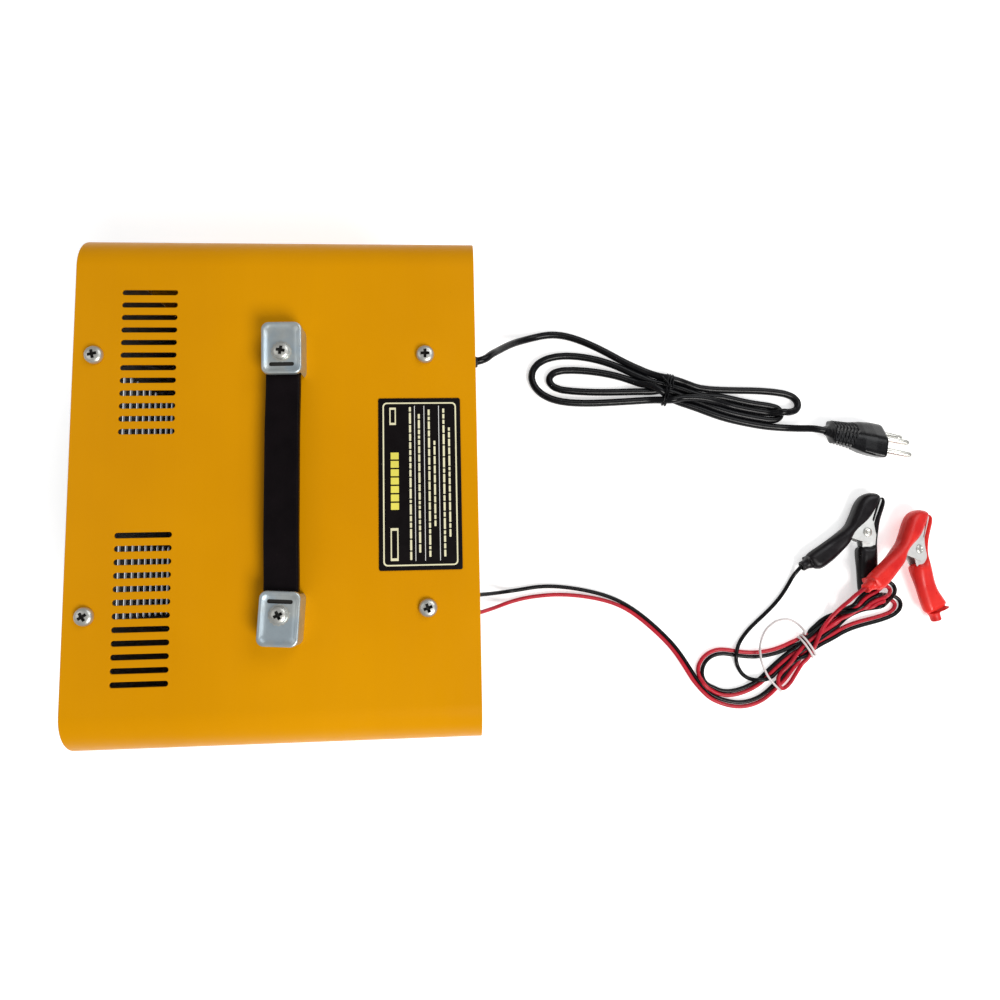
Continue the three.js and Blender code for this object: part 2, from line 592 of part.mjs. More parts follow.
// ---- battery leads ----
const LEAD_Z = LEAD_R + 0.1;
const LEAD_START_Y = FRONT_FACE - 2 * GAP - 3;
const BLACK_RUN = [
  [GROMMET.x + GROMMET.pitch / 2, LEAD_START_Y, GROMMET.z], [-57.6, -90, 32], [-57.2, -107, 23.5],
  [-55.4, -123, 10], [-53.4, -138, 2.6], [-55.9, -159.5, LEAD_Z], [-61.2, -180.7, LEAD_Z], [-69, -197.6, LEAD_Z],
  [-80.8, -212, LEAD_Z], [-94.6, -224.2, LEAD_Z], [-105.6, -230.5, LEAD_Z],
];
const RED_RUN = [
  [GROMMET.x - GROMMET.pitch / 2, LEAD_START_Y, GROMMET.z], [-69.8, -90, 32], [-66.6, -106, 23],
  [-61.8, -121, 11], [-59.6, -136, 3], [-59.4, -153, LEAD_Z], [-63.8, -174.5, LEAD_Z], [-71.4, -196, LEAD_Z],
  [-82.6, -210, LEAD_Z], [-96, -221.6, LEAD_Z], [-107, -227.8, LEAD_Z],
];
const LEAD_HANK = [
  [-105.2, -232.4], [-95.5, -241.5], [-94.2, -252], [-95.4, -264], [-98, -272], [-97, -286], [-91, -302],
  [-86, -314], [-75, -333], [-74.2, -342], [-74.2, -364], [-67, -369.5], [-65.5, -374], [-69, -377.5],
  [-77, -378], [-84, -371], [-86.5, -350], [-93, -335], [-104, -318], [-118, -303], [-130, -293],
  [-138, -284], [-140.5, -268], [-136, -250], [-128, -238], [-112, -228.6],
];
const BLACK_TAIL = [[-94, -266.4, LEAD_Z], [-85, -272, LEAD_Z], [-73, -285, LEAD_Z], [-61.5, -300, 2.6]];
const RED_TAIL = [[-77.6, -321.4, 3], [-71.5, -325.6, 6.4], [-65.5, -332, 13]];

// ---- battery clips ----
// Each clip is drawn about its rivet, with the jaws along +X and the cable grip on the +Y side.
// A grip's own points run along +X from the rivet, and its angle then turns it into place.
const CLIP = {
  jawH: 12, gripH: 9, zone: 13, wall: 1.4, slack: 0.4, steel: 0.9, stripH: 6.6, solidFrom: 35, end: 50,
};
const BLACK_CLIP = { x: -22.5, y: -356.8, turn: -19.7, tilt: 0, hingeY: 0, fixedGrip: 135, movingGrip: 200 };
const RED_CLIP = {
  x: -34.8, y: -386, turn: -20, tilt: 14.5, hingeY: -404, fixedGrip: 139, movingGrip: 217, tab: true,
};

const FIXED_JAW_OUTER = [[24, -4], [27.3, -3.6], [28.3, -0.5], [26.8, 4.5], [23.5, 8.3], [18.5, 10.6], [8, 11.8],
  [0.4, 12.9]];
const FIXED_GRIP_OUTER = [[19, -7.8], [30, -6.3], [43.5, -4.9], [45, -1]];
const FIXED_GRIP_INNER = [[43, 6], [38, 8.4], [26, 6.4], [14, 2.2]];
const FIXED_JAW_INNER = [[-6.5, 7.4], [-2.4, 6.4], [9, -1]];
const FIXED_CHEEK = [[-7, 10], [-7, -3.8], [-4.5, -5.3], [7.8, -1.9], [9.2, -1]];
const MOVING_GRIP_OUTER = [[44, -3], [44, 5], [42, 7.6], [17, 7.6], [8.5, 7.4]];
const TABBED_GRIP_OUTER = [[44, -3], [44, 8], [41.5, 11.8], [38.5, 11.2], [30, 7.8], [17, 7.6], [8.5, 7.4]];
const MOVING_JAW_OUTER = [[3, -8.6], [9.9, -7.6], [23, -8.3], [26.6, -6.8], [27.3, -5]];
const MOVING_JAW_INNER = [[24, -5], [16, -3.7], [9, -2.2], [3, -4.8], [0, -6.6], [-2.2, -7.8], [-7.2, -7.4]];
const MOVING_GRIP_INNER = [[11, -2], [15.5, -6.2], [42, -7]];
const MOVING_CHEEK = [[9, -3], [2, 4], [-3, 4.5], [-6.5, 1]];

const spin = (points, degrees) => {
  const angle = THREE.MathUtils.degToRad(degrees);
  const [c, s] = [Math.cos(angle), Math.sin(angle)];
  return points.map(([x, y]) => [x * c - y * s, x * s + y * c]);
};

function leftNormal([ax, ay], [bx, by]) {
  const length = Math.hypot(bx - ax, by - ay);
  return [(ay - by) / length, (bx - ax) / length];
}

// Moves an open line sideways, to its left for a positive amount.
function inset(line, amount) {
  return line.map(([x, y], i) => {
    const [nx, ny] = i > 0 ? leftNormal(line[i - 1], line[i]) : leftNormal(line[0], line[1]);
    const [mx, my] = i < line.length - 1 ? leftNormal(line[i], line[i + 1]) : [nx, ny];
    const scale = amount / (1 + nx * mx + ny * my);
    return [x + scale * (nx + mx), y + scale * (ny + my)];
  });
}

// A plan that is jawH high up to the grip's zone, gripH high in it, and ends at the given reach.
function stepped(plan, angle, jawH, gripH, zone, reach) {
  const beyond = box(zone, 100, -40, 40, -10, 10).rotate([0, 0, angle]);
  const within = box(0, reach, -40, 40, -10, 10).rotate([0, 0, angle]);
  const jaw = slab(polygon(plan), -jawH / 2, jawH / 2).subtract(beyond);
  const grip = slab(polygon(plan), -gripH / 2, gripH / 2).intersect(beyond).intersect(within);
  return jaw.add(grip);
}

// One half of a clip: a moulded boot with a slot for its steel, which runs from jaw to grip.
function clipHalf({ outer, inner, cheek, angle, sleeveY }, steelH) {
  const { jawH, gripH, zone, wall, slack, steel, stripH, solidFrom, end } = CLIP;
  const solid = stepped([...outer, ...inner], angle, jawH, gripH, zone, 100);
  const open = [...inset(outer, wall), ...inset(inner, -4)];
  const cavity = stepped(open, angle, steelH + 2 * slack, stripH + 2 * slack, zone - wall + 0.6, solidFrom);
  const sleeve = turned([[0, -4], [4.2, -4], [4.2, 0], [3.4, 1.6], [3, end - 44], [0, end - 44]], 12)
    .rotate([0, 90, 0]).translate([44, sleeveY, 0]).rotate([0, 0, angle]);
  const edge = inset(outer, wall + slack);
  const inside = inset(outer, wall + slack + steel);
  const reach = solidFrom - slack;
  const body = stepped([...edge, ...cheek], angle, steelH, stripH, zone - wall, reach);
  const hollowH = steelH - 2 * steel;
  const hollow = stepped([...inside, ...inset(cheek, -3)], angle, hollowH, stripH + 2, zone - wall, 100);
  const bore = turned([[0, -9], [2, -9], [2, 9], [0, 9]], 12);
  return { boot: union(cut(solid, cavity), sleeve), jaw: cut(body, hollow, bore) };
}

function springCurve() {
  const turns = 3;
  const perTurn = 8;
  const points = [[-9, 5, -2.2]];
  for (let i = 0; i <= turns * perTurn; i++) {
    const angle = 2.3 + (2 * Math.PI * i) / perTurn;
    points.push([3.1 * Math.cos(angle), 3.1 * Math.sin(angle), -2.2 + (4.4 * i) / (turns * perTurn)]);
  }
  points.push([-8.6, -0.6, 2.2]);
  return points;
}

function makeClip(name, clip, look) {
  const { fixedGrip, movingGrip } = clip;
  const fixed = clipHalf({
    outer: [...FIXED_JAW_OUTER, ...spin(FIXED_GRIP_OUTER, fixedGrip)],
    inner: [...spin(FIXED_GRIP_INNER, fixedGrip), ...FIXED_JAW_INNER],
    cheek: FIXED_CHEEK, angle: fixedGrip, sleeveY: 0.8,
  }, 10);
  const moving = clipHalf({
    outer: [...spin(clip.tab ? TABBED_GRIP_OUTER : MOVING_GRIP_OUTER, movingGrip), ...MOVING_JAW_OUTER],
    inner: [...MOVING_JAW_INNER, ...spin(MOVING_GRIP_INNER, movingGrip)],
    cheek: MOVING_CHEEK, angle: movingGrip, sleeveY: 0.4,
  }, 7.6);
  const rivet = turned([[0, -5.9], [1.9, -5.9], [2.9, -5.3], [1.7, -5.3], [1.7, 5.3], [2.9, 5.3], [1.9, 5.9],
    [0, 5.9]], 12);
  const group = new THREE.Group();
  add(`${name}_clip_fixed_jaw`, fixed.jaw, STEEL, group);
  add(`${name}_clip_fixed_boot`, fixed.boot, look, group);
  add(`${name}_clip_moving_jaw`, moving.jaw, STEEL, group);
  add(`${name}_clip_moving_boot`, moving.boot, look, group);
  add(`${name}_clip_rivet`, rivet, ZINC, group);
  add(`${name}_clip_spring`, tube(springCurve(), 0.5, 30, 5), STEEL, group);
  group.applyMatrix4(clipMatrix(clip));
  charger.add(group);
}

// Lays a clip flat on the floor, then tips its grips up about a line along X.
function clipMatrix(clip) {
  const degree = THREE.MathUtils.degToRad;
  const lay = new THREE.Matrix4().makeTranslation(clip.x, clip.y - clip.hingeY, CLIP.jawH / 2 + 0.1);
  lay.multiply(new THREE.Matrix4().makeRotationZ(degree(clip.turn)));
  const tip = new THREE.Matrix4().makeTranslation(0, clip.hingeY, 0);
  tip.multiply(new THREE.Matrix4().makeRotationX(degree(clip.tilt)));
  return tip.multiply(lay);
}

// Points on the cable sleeve's axis, at distances outside its mouth.
function fromSleeve(clip, ...distances) {
  return distances.map((distance) => {
    const [[x, y]] = spin([[CLIP.end + distance, 0.8]], clip.fixedGrip);
    return new THREE.Vector3(x, y, 0).applyMatrix4(clipMatrix(clip)).toArray();
  });
}

function makeBatteryLeads() {
  add('black_lead_run', tube(BLACK_RUN, LEAD_R, 22), BLACK_RUBBER);
  add('red_lead_run', tube(RED_RUN, LEAD_R, 22), RED_VINYL);
  add('battery_lead_hank', slab(polygon(LEAD_HANK.slice().reverse()), 0, LEAD_HANK_H), RED_VINYL);
  add('black_lead_tail', tube([...BLACK_TAIL, ...fromSleeve(BLACK_CLIP, 3, GAP)], LEAD_R, 10), BLACK_RUBBER);
  add('red_lead_tail', tube([...RED_TAIL, ...fromSleeve(RED_CLIP, 3, GAP)], LEAD_R, 7), RED_VINYL);
  makeClip('black', BLACK_CLIP, BLACK_PLASTIC);
  makeClip('red', RED_CLIP, RED_VINYL);
}

makeCover();
makeRearPanel();
makeFrontPanel();
makeTray();
makeFeet();
makeCoverScrews();
makeHandle();
makeLabel();
makeMeter();
makeRocker();
makeSelector();
makeFuse();
makeLamp();
makeOutlets();
makeTransformer();
makeRectifier();
makeBreaker();
makeMainsLead();
makeBatteryLeads();

export default charger;
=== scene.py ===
"""A transformer car battery charger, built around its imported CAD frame.

Everything is in metres in the frame of the CAD part: the floor is z = 0, the front panel faces -Y
and the case is widest along X. Lengths written in millimetres are turned into metres with mm().
"""

import math

import bmesh
import bpy
import numpy as np
from mathutils import Matrix, Vector


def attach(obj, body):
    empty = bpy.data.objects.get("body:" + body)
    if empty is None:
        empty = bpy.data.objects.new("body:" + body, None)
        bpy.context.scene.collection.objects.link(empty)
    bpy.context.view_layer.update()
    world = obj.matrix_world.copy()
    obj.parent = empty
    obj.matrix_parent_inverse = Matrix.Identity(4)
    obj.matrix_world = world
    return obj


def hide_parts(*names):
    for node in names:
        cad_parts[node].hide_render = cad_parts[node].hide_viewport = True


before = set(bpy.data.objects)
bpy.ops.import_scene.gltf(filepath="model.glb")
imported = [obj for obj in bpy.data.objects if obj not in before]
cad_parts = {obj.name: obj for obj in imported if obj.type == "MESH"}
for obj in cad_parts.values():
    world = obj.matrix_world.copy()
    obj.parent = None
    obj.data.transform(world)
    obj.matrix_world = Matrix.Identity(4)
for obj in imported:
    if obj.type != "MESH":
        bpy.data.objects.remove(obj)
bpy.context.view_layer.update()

MM = 0.001
ROOT = "charger"
rng = np.random.default_rng(7)


def mm(*values):
    return tuple(v * MM for v in values)


def placed(name, data):
    """A new object with this data, linked into the scene."""
    made = bpy.data.objects.new(name, data)
    bpy.context.scene.collection.objects.link(made)
    return made


# ---------------------------------------------------------------- camera and lights

# The camera looks down from above the cords. CAMERA_TURN is in degrees about X, Y and Z.
CAMERA_AT = mm(-43.834, -80.670, 462.820)
CAMERA_TURN = (5.9874, -3.66116, -91.30062)


def make_camera():
    data = bpy.data.cameras.new("camera")
    data.sensor_width = 36.0
    data.lens = 25.2
    data.clip_start = 0.01
    data.clip_end = 30.0
    camera = placed("camera", data)
    camera.location = CAMERA_AT
    camera.rotation_euler = [math.radians(turn) for turn in CAMERA_TURN]
    bpy.context.scene.camera = camera


def area_light(name, at, target, size, watts, tint=(1, 1, 1)):
    data = bpy.data.lights.new(name, "AREA")
    data.shape = "DISK"
    data.size = size
    data.energy = watts
    data.color = tint
    lamp = placed(name, data)
    lamp.location = at
    aim = Vector(target) - Vector(at)
    lamp.rotation_euler = aim.to_track_quat("-Z", "Y").to_euler()


def make_lights():
    front, middle = (0, -0.1, 0.05), (0, 0, 0.08)
    area_light("key", (-0.95, -0.75, 1.3), front, size=0.8, watts=22, tint=(1.0, 0.985, 0.96))
    area_light("fill", (0.9, -0.9, 1.3), front, size=1.2, watts=9, tint=(0.96, 0.98, 1.0))
    area_light("back", (0.2, 1.1, 1.2), middle, size=1.0, watts=2)
    world = bpy.data.worlds.new("studio")
    bpy.context.scene.world = world
    world.use_nodes = True
    background = world.node_tree.nodes["Background"]
    background.inputs["Color"].default_value = (1.0, 1.0, 1.0, 1)
    background.inputs["Strength"].default_value = 0.28
    view = bpy.context.scene.view_settings
    view.view_transform = "Standard"
    view.look = "None"
    view.exposure = 0.0


# ---------------------------------------------------------------- materials


class Shader:
    """Builds one procedural material, whose textures lie in the object's own coordinates."""

    def __init__(self, name):
        self.material = bpy.data.materials.new(name)
        self.material.use_nodes = True
        self.tree = self.material.node_tree
        self.bsdf = self.tree.nodes["Principled BSDF"]
        self.place = self.node("ShaderNodeTexCoord").outputs["Object"]

    def node(self, kind, **settings):
        made = self.tree.nodes.new(kind)
        for key, value in settings.items():
            setattr(made, key, value)
        return made

    def link(self, a, b):
        self.tree.links.new(a, b)

    def put(self, socket, value):
        if isinstance(value, bpy.types.NodeSocket):
            self.link(value, socket)
        else:
            socket.default_value = value

    def scaled(self, x, y, z):
        """The object's coordinates, stretched by a factor along each axis."""
        mapping = self.node("ShaderNodeMapping")
        mapping.inputs["Scale"].default_value = (x, y, z)
        self.link(self.place, mapping.inputs["Vector"])
        return mapping.outputs["Vector"]

    def texture(self, made, output, at, **inputs):
        """Sets a texture node's inputs, and lays it at the coordinates given or the object's."""
        for key, value in inputs.items():
            made.inputs[key].default_value = value
        self.link(at or self.place, made.inputs["Vector"])
        return made.outputs[output]

    def noise(self, scale, detail=3.0, rough=0.5, at=None):
        made = self.node("ShaderNodeTexNoise")
        return self.texture(made, "Fac", at, Scale=scale, Detail=detail, Roughness=rough)

    def wave(self, scale, direction, distortion):
        made = self.node("ShaderNodeTexWave", wave_type="BANDS", bands_direction=direction)
        return self.texture(made, "Fac", None, Scale=scale, Distortion=distortion)

    def voronoi(self, scale, at=None):
        return self.texture(self.node("ShaderNodeTexVoronoi"), "Distance", at, Scale=scale)

    def ramp(self, value, stops):
        """Turns a value into a colour. stops are (position, grey or colour) pairs."""
        made = self.node("ShaderNodeValToRGB")
        elements = made.color_ramp.elements
        while len(elements) < len(stops):
            elements.new(0.5)
        for element, (position, colour) in zip(elements, stops):
            grey = colour if hasattr(colour, "__len__") else (colour,) * 3
            element.position = position
            element.color = (*grey[:3], 1)
        self.link(value, made.inputs["Fac"])
        return made.outputs["Color"]

    def mix(self, factor, a, b):
        made = self.node("ShaderNodeMix", data_type="RGBA")
        self.put(made.inputs["Factor"], factor)
        for socket, value in (("A", a), ("B", b)):
            target = next(s for s in made.inputs if s.name == socket and s.type == "RGBA")
            self.put(target, value if isinstance(value, bpy.types.NodeSocket) else (*value, 1))
        return next(s for s in made.outputs if s.type == "RGBA")

    def share(self, part, value):
        """A value turned down to a part of itself."""
        made = self.node("ShaderNodeMath", operation="MULTIPLY")
        self.put(made.inputs[0], value)
        self.put(made.inputs[1], part)
        return made.outputs[0]

    def bump(self, height, strength, distance, after=None):
        made = self.node("ShaderNodeBump")
        made.inputs["Strength"].default_value = strength
        made.inputs["Distance"].default_value = distance
        self.link(height, made.inputs["Height"])
        if after is not None:
            self.link(after, made.inputs["Normal"])
        return made.outputs["Normal"]

    def finish(self, colour, roughness, metallic=0.0, normal=None, **more):
        self.put(self.bsdf.inputs["Base Color"],
                 colour if isinstance(colour, bpy.types.NodeSocket) else (*colour[:3], 1))
        self.put(self.bsdf.inputs["Roughness"], roughness)
        self.bsdf.inputs["Metallic"].default_value = metallic
        if normal is not None:
            self.link(normal, self.bsdf.inputs["Normal"])
        for key, value in more.items():
            self.put(self.bsdf.inputs[key.replace("_", " ")], value)
        return self.material


def yellow_paint():
    """Glossy enamel: cloudy, with faint streaks, small chips, rubbed patches and an orange peel."""
    s = Shader("yellow_paint")
    cloud = s.noise(9, 3, 0.55)
    colour = s.ramp(cloud, [(0.3, (0.645, 0.270, 0.0)), (0.7, (0.715, 0.308, 0.0))])
    streak = s.noise(60, 4, 0.6, at=s.scaled(0.12, 6, 1))
    colour = s.mix(s.share(0.10, streak), colour, (0.52, 0.20, 0.002))
    speck = s.noise(700, 2, 0.5)
    chip = s.ramp(speck, [(0.775, 0.0), (0.8, 1.0)])
    colour = s.mix(s.share(0.35, chip), colour, (0.35, 0.14, 0.004))
    rub = s.noise(26, 5, 0.65, at=s.scaled(1, 3, 1))
    rough = s.ramp(rub, [(0.35, 0.30), (0.7, 0.42)])
    peel = s.bump(s.noise(1100, 2, 0.4), 0.09, 0.0004)
    waves = s.bump(s.noise(34, 2, 0.4), 0.05, 0.002, after=peel)
    return s.finish(colour, rough, normal=waves, Specular_IOR_Level=0.07)


def zinc(name="zinc", base=(0.50, 0.57, 0.60), rough=(0.3, 0.46), bluish=True, metallic=0.8):
    """Plated metal with a fine brushed wear, and a bluish to yellowish tint where it is asked for."""
    s = Shader(name)
    cloud = s.noise(160, 4, 0.6)
    colour = s.ramp(cloud, [(0.3, tuple(c * 0.82 for c in base)), (0.7, base)])
    if bluish:
        tint = s.noise(90, 2, 0.5)
        shade = s.ramp(tint, [(0.4, (0.50, 0.62, 0.72)), (0.6, (0.74, 0.74, 0.68))])
        colour = s.mix(0.35, colour, shade)
    scratch = s.noise(500, 3, 0.6, at=s.scaled(1, 7, 1))
    roughness = s.ramp(scratch, [(0.3, rough[0]), (0.75, rough[1])])
    normal = s.bump(scratch, 0.12, 0.0002)
    return s.finish(colour, roughness, metallic=metallic, normal=normal)


def galvanised():
    s = Shader("galvanised")
    cells = s.voronoi(120)
    # Colours kept darker than bare galvanised steel: painted shade for the inside of the case, which
    # the rear panel shares.
    colour = s.ramp(cells, [(0.1, (0.36, 0.37, 0.38)), (0.8, (0.43, 0.44, 0.45))])
    roughness = s.ramp(s.noise(60, 3), [(0.3, 0.38), (0.7, 0.55)])
    grain = s.bump(s.noise(300, 3), 0.08, 0.0003)
    return s.finish(colour, roughness, metallic=0.75, normal=grain)


def plain(name, base, rough, grain=900, depth=0.12, spread=0.25, metallic=0.0, **more):
    """A moulded or painted surface: soft colour change, uneven gloss and a fine grain."""
    s = Shader(name)
    cloud = s.noise(40, 4, 0.6)
    low = tuple(c * (1 - spread) for c in base)
    high = tuple(min(1, c * (1 + spread)) for c in base)
    colour = s.ramp(cloud, [(0.3, low), (0.7, high)])
    wear = s.noise(220, 3, 0.6)
    roughness = s.ramp(wear, [(0.3, max(0.05, rough - 0.07)), (0.75, min(1, rough + 0.08))])
    normal = s.bump(s.noise(grain, 2, 0.5), depth, 0.0003)
    return s.finish(colour, roughness, metallic=metallic, normal=normal, **more)


def strap_vinyl():
    s = Shader("strap_vinyl")
    cells = s.voronoi(900, at=s.scaled(0.7, 1, 1))
    colour = s.ramp(s.noise(70, 4), [(0.3, (0.0025, 0.0015, 0.002)), (0.7, (0.005, 0.003, 0.004))])
    dust = s.ramp(s.noise(300, 5, 0.7), [(0.62, 0.0), (0.8, 1.0)])
    colour = s.mix(s.share(0.06, dust), colour, (0.10, 0.08, 0.06))
    roughness = s.ramp(s.noise(120, 3), [(0.3, 0.36), (0.7, 0.5)])
    return s.finish(colour, roughness, normal=s.bump(cells, 0.22, 0.0003), Specular_IOR_Level=0.08)


def laminations():
    s = Shader("laminations")
    plates = s.wave(320, "Y", 0.15)
    colour = s.ramp(plates, [(0.2, (0.03, 0.028, 0.026)), (0.8, (0.13, 0.12, 0.11))])
    rust = s.ramp(s.noise(55, 5, 0.7), [(0.55, 0.0), (0.75, 1.0)])
    colour = s.mix(s.share(0.4, rust), colour, (0.16, 0.07, 0.03))
    return s.finish(colour, 0.5, metallic=0.5, normal=s.bump(plates, 0.6, 0.0004))


def winding():
    s = Shader("winding")
    turns = s.wave(260, "Z", 0.4)
    colour = s.ramp(turns, [(0.15, (0.10, 0.03, 0.01)), (0.85, (0.48, 0.17, 0.06))])
    tape = s.ramp(s.noise(30, 2), [(0.5, 0.0), (0.55, 1.0)])
    colour = s.mix(s.share(0.25, tape), colour, (0.5, 0.36, 0.12))
    return s.finish(colour, 0.35, metallic=0.6, normal=s.bump(turns, 0.8, 0.0006))


def dial_card():
    s = Shader("dial_card")
    colour = s.ramp(s.noise(120, 4), [(0.3, (0.86, 0.84, 0.78)), (0.7, (0.93, 0.92, 0.87))])
    return s.finish(colour, 0.6, normal=s.bump(s.noise(2500, 2), 0.05, 0.0001))


def clear_window():
    s = Shader("clear_window")
    roughness = s.ramp(s.noise(150, 3), [(0.35, 0.02), (0.8, 0.09)])
    return s.finish((0.95, 0.97, 0.97), roughness, Transmission_Weight=0.94, IOR=1.3, Alpha=0.32)


def lens_red():
    s = Shader("lens_red")
    facets = s.voronoi(700)
    colour = s.ramp(facets, [(0.1, (0.50, 0.01, 0.008)), (0.8, (0.75, 0.02, 0.015))])
    facing = s.bump(facets, 0.3, 0.0003)
    return s.finish(colour, 0.12, normal=facing, Transmission_Weight=0.35, IOR=1.45)


def vinyl(name, base, deep):
    """Soft clip boots and cord covers: mottled, with a waxy gloss and a fine moulded grain."""
    s = Shader(name)
    cloud = s.noise(75, 5, 0.6)
    colour = s.ramp(cloud, [(0.3, deep), (0.65, base)])
    roughness = s.ramp(s.noise(180, 4), [(0.3, 0.26), (0.75, 0.44)])
    grain = s.bump(s.noise(1500, 2), 0.1, 0.0002)
    normal = s.bump(s.noise(140, 3), 0.12, 0.0008, after=grain)
    return s.finish(colour, roughness, normal=normal, Specular_IOR_Level=0.3)


# Every material, by the name that the pieces use for it.
LOOKS = {}


def bare(name, base, rough=(0.3, 0.46), metallic=0.8):
    """Plated metal without a tint."""
    return zinc(name, base, rough, bluish=False, metallic=metallic)


def make_materials():
    LOOKS["yellow"] = yellow_paint()
    LOOKS["zinc"] = zinc()
    LOOKS["screw"] = bare("screw_plate", (0.66, 0.66, 0.62))
    LOOKS["clip_steel"] = bare("clip_steel", (0.80, 0.81, 0.80), (0.36, 0.6), metallic=0.35)
    LOOKS["galvanised"] = galvanised()
    LOOKS["panel"] = plain("dark_panel", (0.020, 0.021, 0.023), 0.42, grain=1400, depth=0.2)
    soft, dull = dict(Specular_IOR_Level=0.3), dict(Specular_IOR_Level=0.2)
    LOOKS["plastic"] = plain("black_plastic", (0.009, 0.009, 0.010), 0.36, grain=1800, **soft)
    LOOKS["rubber"] = plain("black_rubber", (0.008, 0.008, 0.008), 0.52, grain=700, depth=0.2, **soft)
    LOOKS["cord_black"] = plain("cord_black", (0.003, 0.003, 0.004), 0.26, depth=0.1, **dull)
    LOOKS["plug_black"] = plain("plug_black", (0.003, 0.003, 0.004), 0.24, grain=1500, **soft)
    LOOKS["strap"] = strap_vinyl()
    LOOKS["iron"] = laminations()
    LOOKS["copper"] = winding()
    LOOKS["aluminium"] = bare("aluminium", (0.66, 0.67, 0.68), (0.3, 0.45))
    LOOKS["card"] = dial_card()
    LOOKS["window"] = clear_window()
    LOOKS["lens"] = lens_red()
    LOOKS["red_plastic"] = plain("red_plastic", (0.55, 0.012, 0.010), 0.25, spread=0.08)
    LOOKS["red_boot"] = vinyl("red_boot", (0.80, 0.030, 0.022), (0.62, 0.014, 0.014))
    LOOKS["red_cord"] = vinyl("red_cord", (0.56, 0.012, 0.030), (0.40, 0.008, 0.022))
    LOOKS["black_boot"] = vinyl("black_boot", (0.007, 0.005, 0.007), (0.003, 0.002, 0.003))
    faint = dict(Specular_IOR_Level=0.12)
    LOOKS["label"] = plain("label_black", (0.0035, 0.002, 0.0025), 0.4, grain=500, depth=0.05, **faint)
    LOOKS["ink"] = plain("label_cream", (0.80, 0.76, 0.50), 0.4, spread=0.12)
    LOOKS["ink_yellow"] = plain("label_yellow", (0.78, 0.70, 0.10), 0.4, spread=0.10)
    LOOKS["white"] = plain("tie_white", (0.70, 0.64, 0.64), 0.4, spread=0.05)
    # Near-black look for the faces inside screw crosses and cap slots: painted shade in the recesses.
    LOOKS["recess"] = plain("screw_recess_painted_shade", (0.02, 0.019, 0.017), 0.6, metallic=0.4)
    LOOKS["pin"] = bare("pin_plate", (0.78, 0.77, 0.72), (0.2, 0.34))
    LOOKS["mark"] = plain("white_mark", (0.8, 0.8, 0.78), 0.5, spread=0.05)


# ---------------------------------------------------------------- mesh building


def new_bm(points, faces):
    bm = bmesh.new()
    made = [bm.verts.new(p) for p in points]
    for face in faces:
        bm.faces.new([made[i] for i in face])
    return bm


def mesh_of(name, bm):
    """Turns a bmesh into a mesh, and frees it."""
    mesh = bpy.data.meshes.new(name)
    bm.to_mesh(mesh)
    bm.free()
    return mesh


def bm_of_curve(curve):
    """Turns a curve into a bmesh, and removes it."""
    maker = placed("maker", curve)
    shown = maker.evaluated_get(bpy.context.evaluated_depsgraph_get())
    mesh = bpy.data.meshes.new_from_object(shown)
    bm = bmesh.new()
    bm.from_mesh(mesh)
    bpy.data.objects.remove(maker)
    bpy.data.curves.remove(curve)
    bpy.data.meshes.remove(mesh)
    return bm


def rings_bm(rings):
    """Skins rings of equal length, in order, with a flat cap at each end."""
    count = len(rings[0])
    points = [p for ring in rings for p in ring]
    faces = []
    for r in range(len(rings) - 1):
        for i in range(count):
            a, b = r * count + i, r * count + (i + 1) % count
            faces.append((a, b, b + count, a + count))
    faces.append(tuple(reversed(range(count))))
    faces.append(tuple(range(len(points) - count, len(points))))
    return new_bm(points, faces)


def turned_bm(profile, at=(0, 0, 0), axis=(0, 0, 1), segments=48, wobble=None):
    """Turns [radius, height] pairs in mm about an axis through a point in metres. wobble gives a
    factor for the radius at an angle and a height."""
    to_axis = Vector((0, 0, 1)).rotation_difference(Vector(axis)).to_matrix()
    least_radius = 0.004
    rings = []
    for radius, height in profile:
        ring = []
        for i in range(segments):
            angle = 2 * math.pi * i / segments
            r = max(radius, least_radius) * (wobble(angle, height) if wobble else 1.0)
            local = Vector((r * math.cos(angle), r * math.sin(angle), height))
            ring.append((to_axis @ local) * MM + Vector(at))
        rings.append(ring)
    return rings_bm(rings)


def carried(bm, place):
    """Moves a bmesh by a matrix that takes mm into the frame."""
    for vert in bm.verts:
        vert.co = place @ (vert.co / MM)
    return bm


def plate_bm(loops, low, high, bevel, place, steps=3):
    """A flat plate with rounded edges. loops are the outline and its holes in mm, low and high its
    faces, and place turns (a, b, height) in mm into a point in the frame."""
    curve = bpy.data.curves.new("plate", "CURVE")
    curve.dimensions = "2D"
    curve.fill_mode = "BOTH"
    curve.extrude = (high - low) / 2 - bevel
    curve.bevel_depth = bevel
    curve.bevel_resolution = steps
    curve.offset = -bevel
    for loop in loops:
        spline = curve.splines.new("POLY")
        spline.points.add(len(loop) - 1)
        for point, (a, b) in zip(spline.points, loop):
            point.co = (a, b, 0, 1)
        spline.use_cyclic_u = True
    bm = bm_of_curve(curve)
    bmesh.ops.remove_doubles(bm, verts=bm.verts, dist=1e-4)
    middle = (high + low) / 2
    for vert in bm.verts:
        a, b, h = vert.co
        vert.co = place(a, b, h + middle)
    bmesh.ops.recalc_face_normals(bm, faces=bm.faces)
    return bm


def flat(a, b, h):
    """For plates in X and Y, whose height runs up."""
    return Vector(mm(a, b, h))


def forward(a, b, h):
    """For plates in X and Z, whose height runs towards the front."""
    return Vector(mm(a, -h, b))


def merged(*parts):
    """Joins several bmeshes into one."""
    total = bmesh.new()
    for bm in parts:
        mesh = mesh_of("part", bm)
        total.from_mesh(mesh)
        bpy.data.meshes.remove(mesh)
    return total


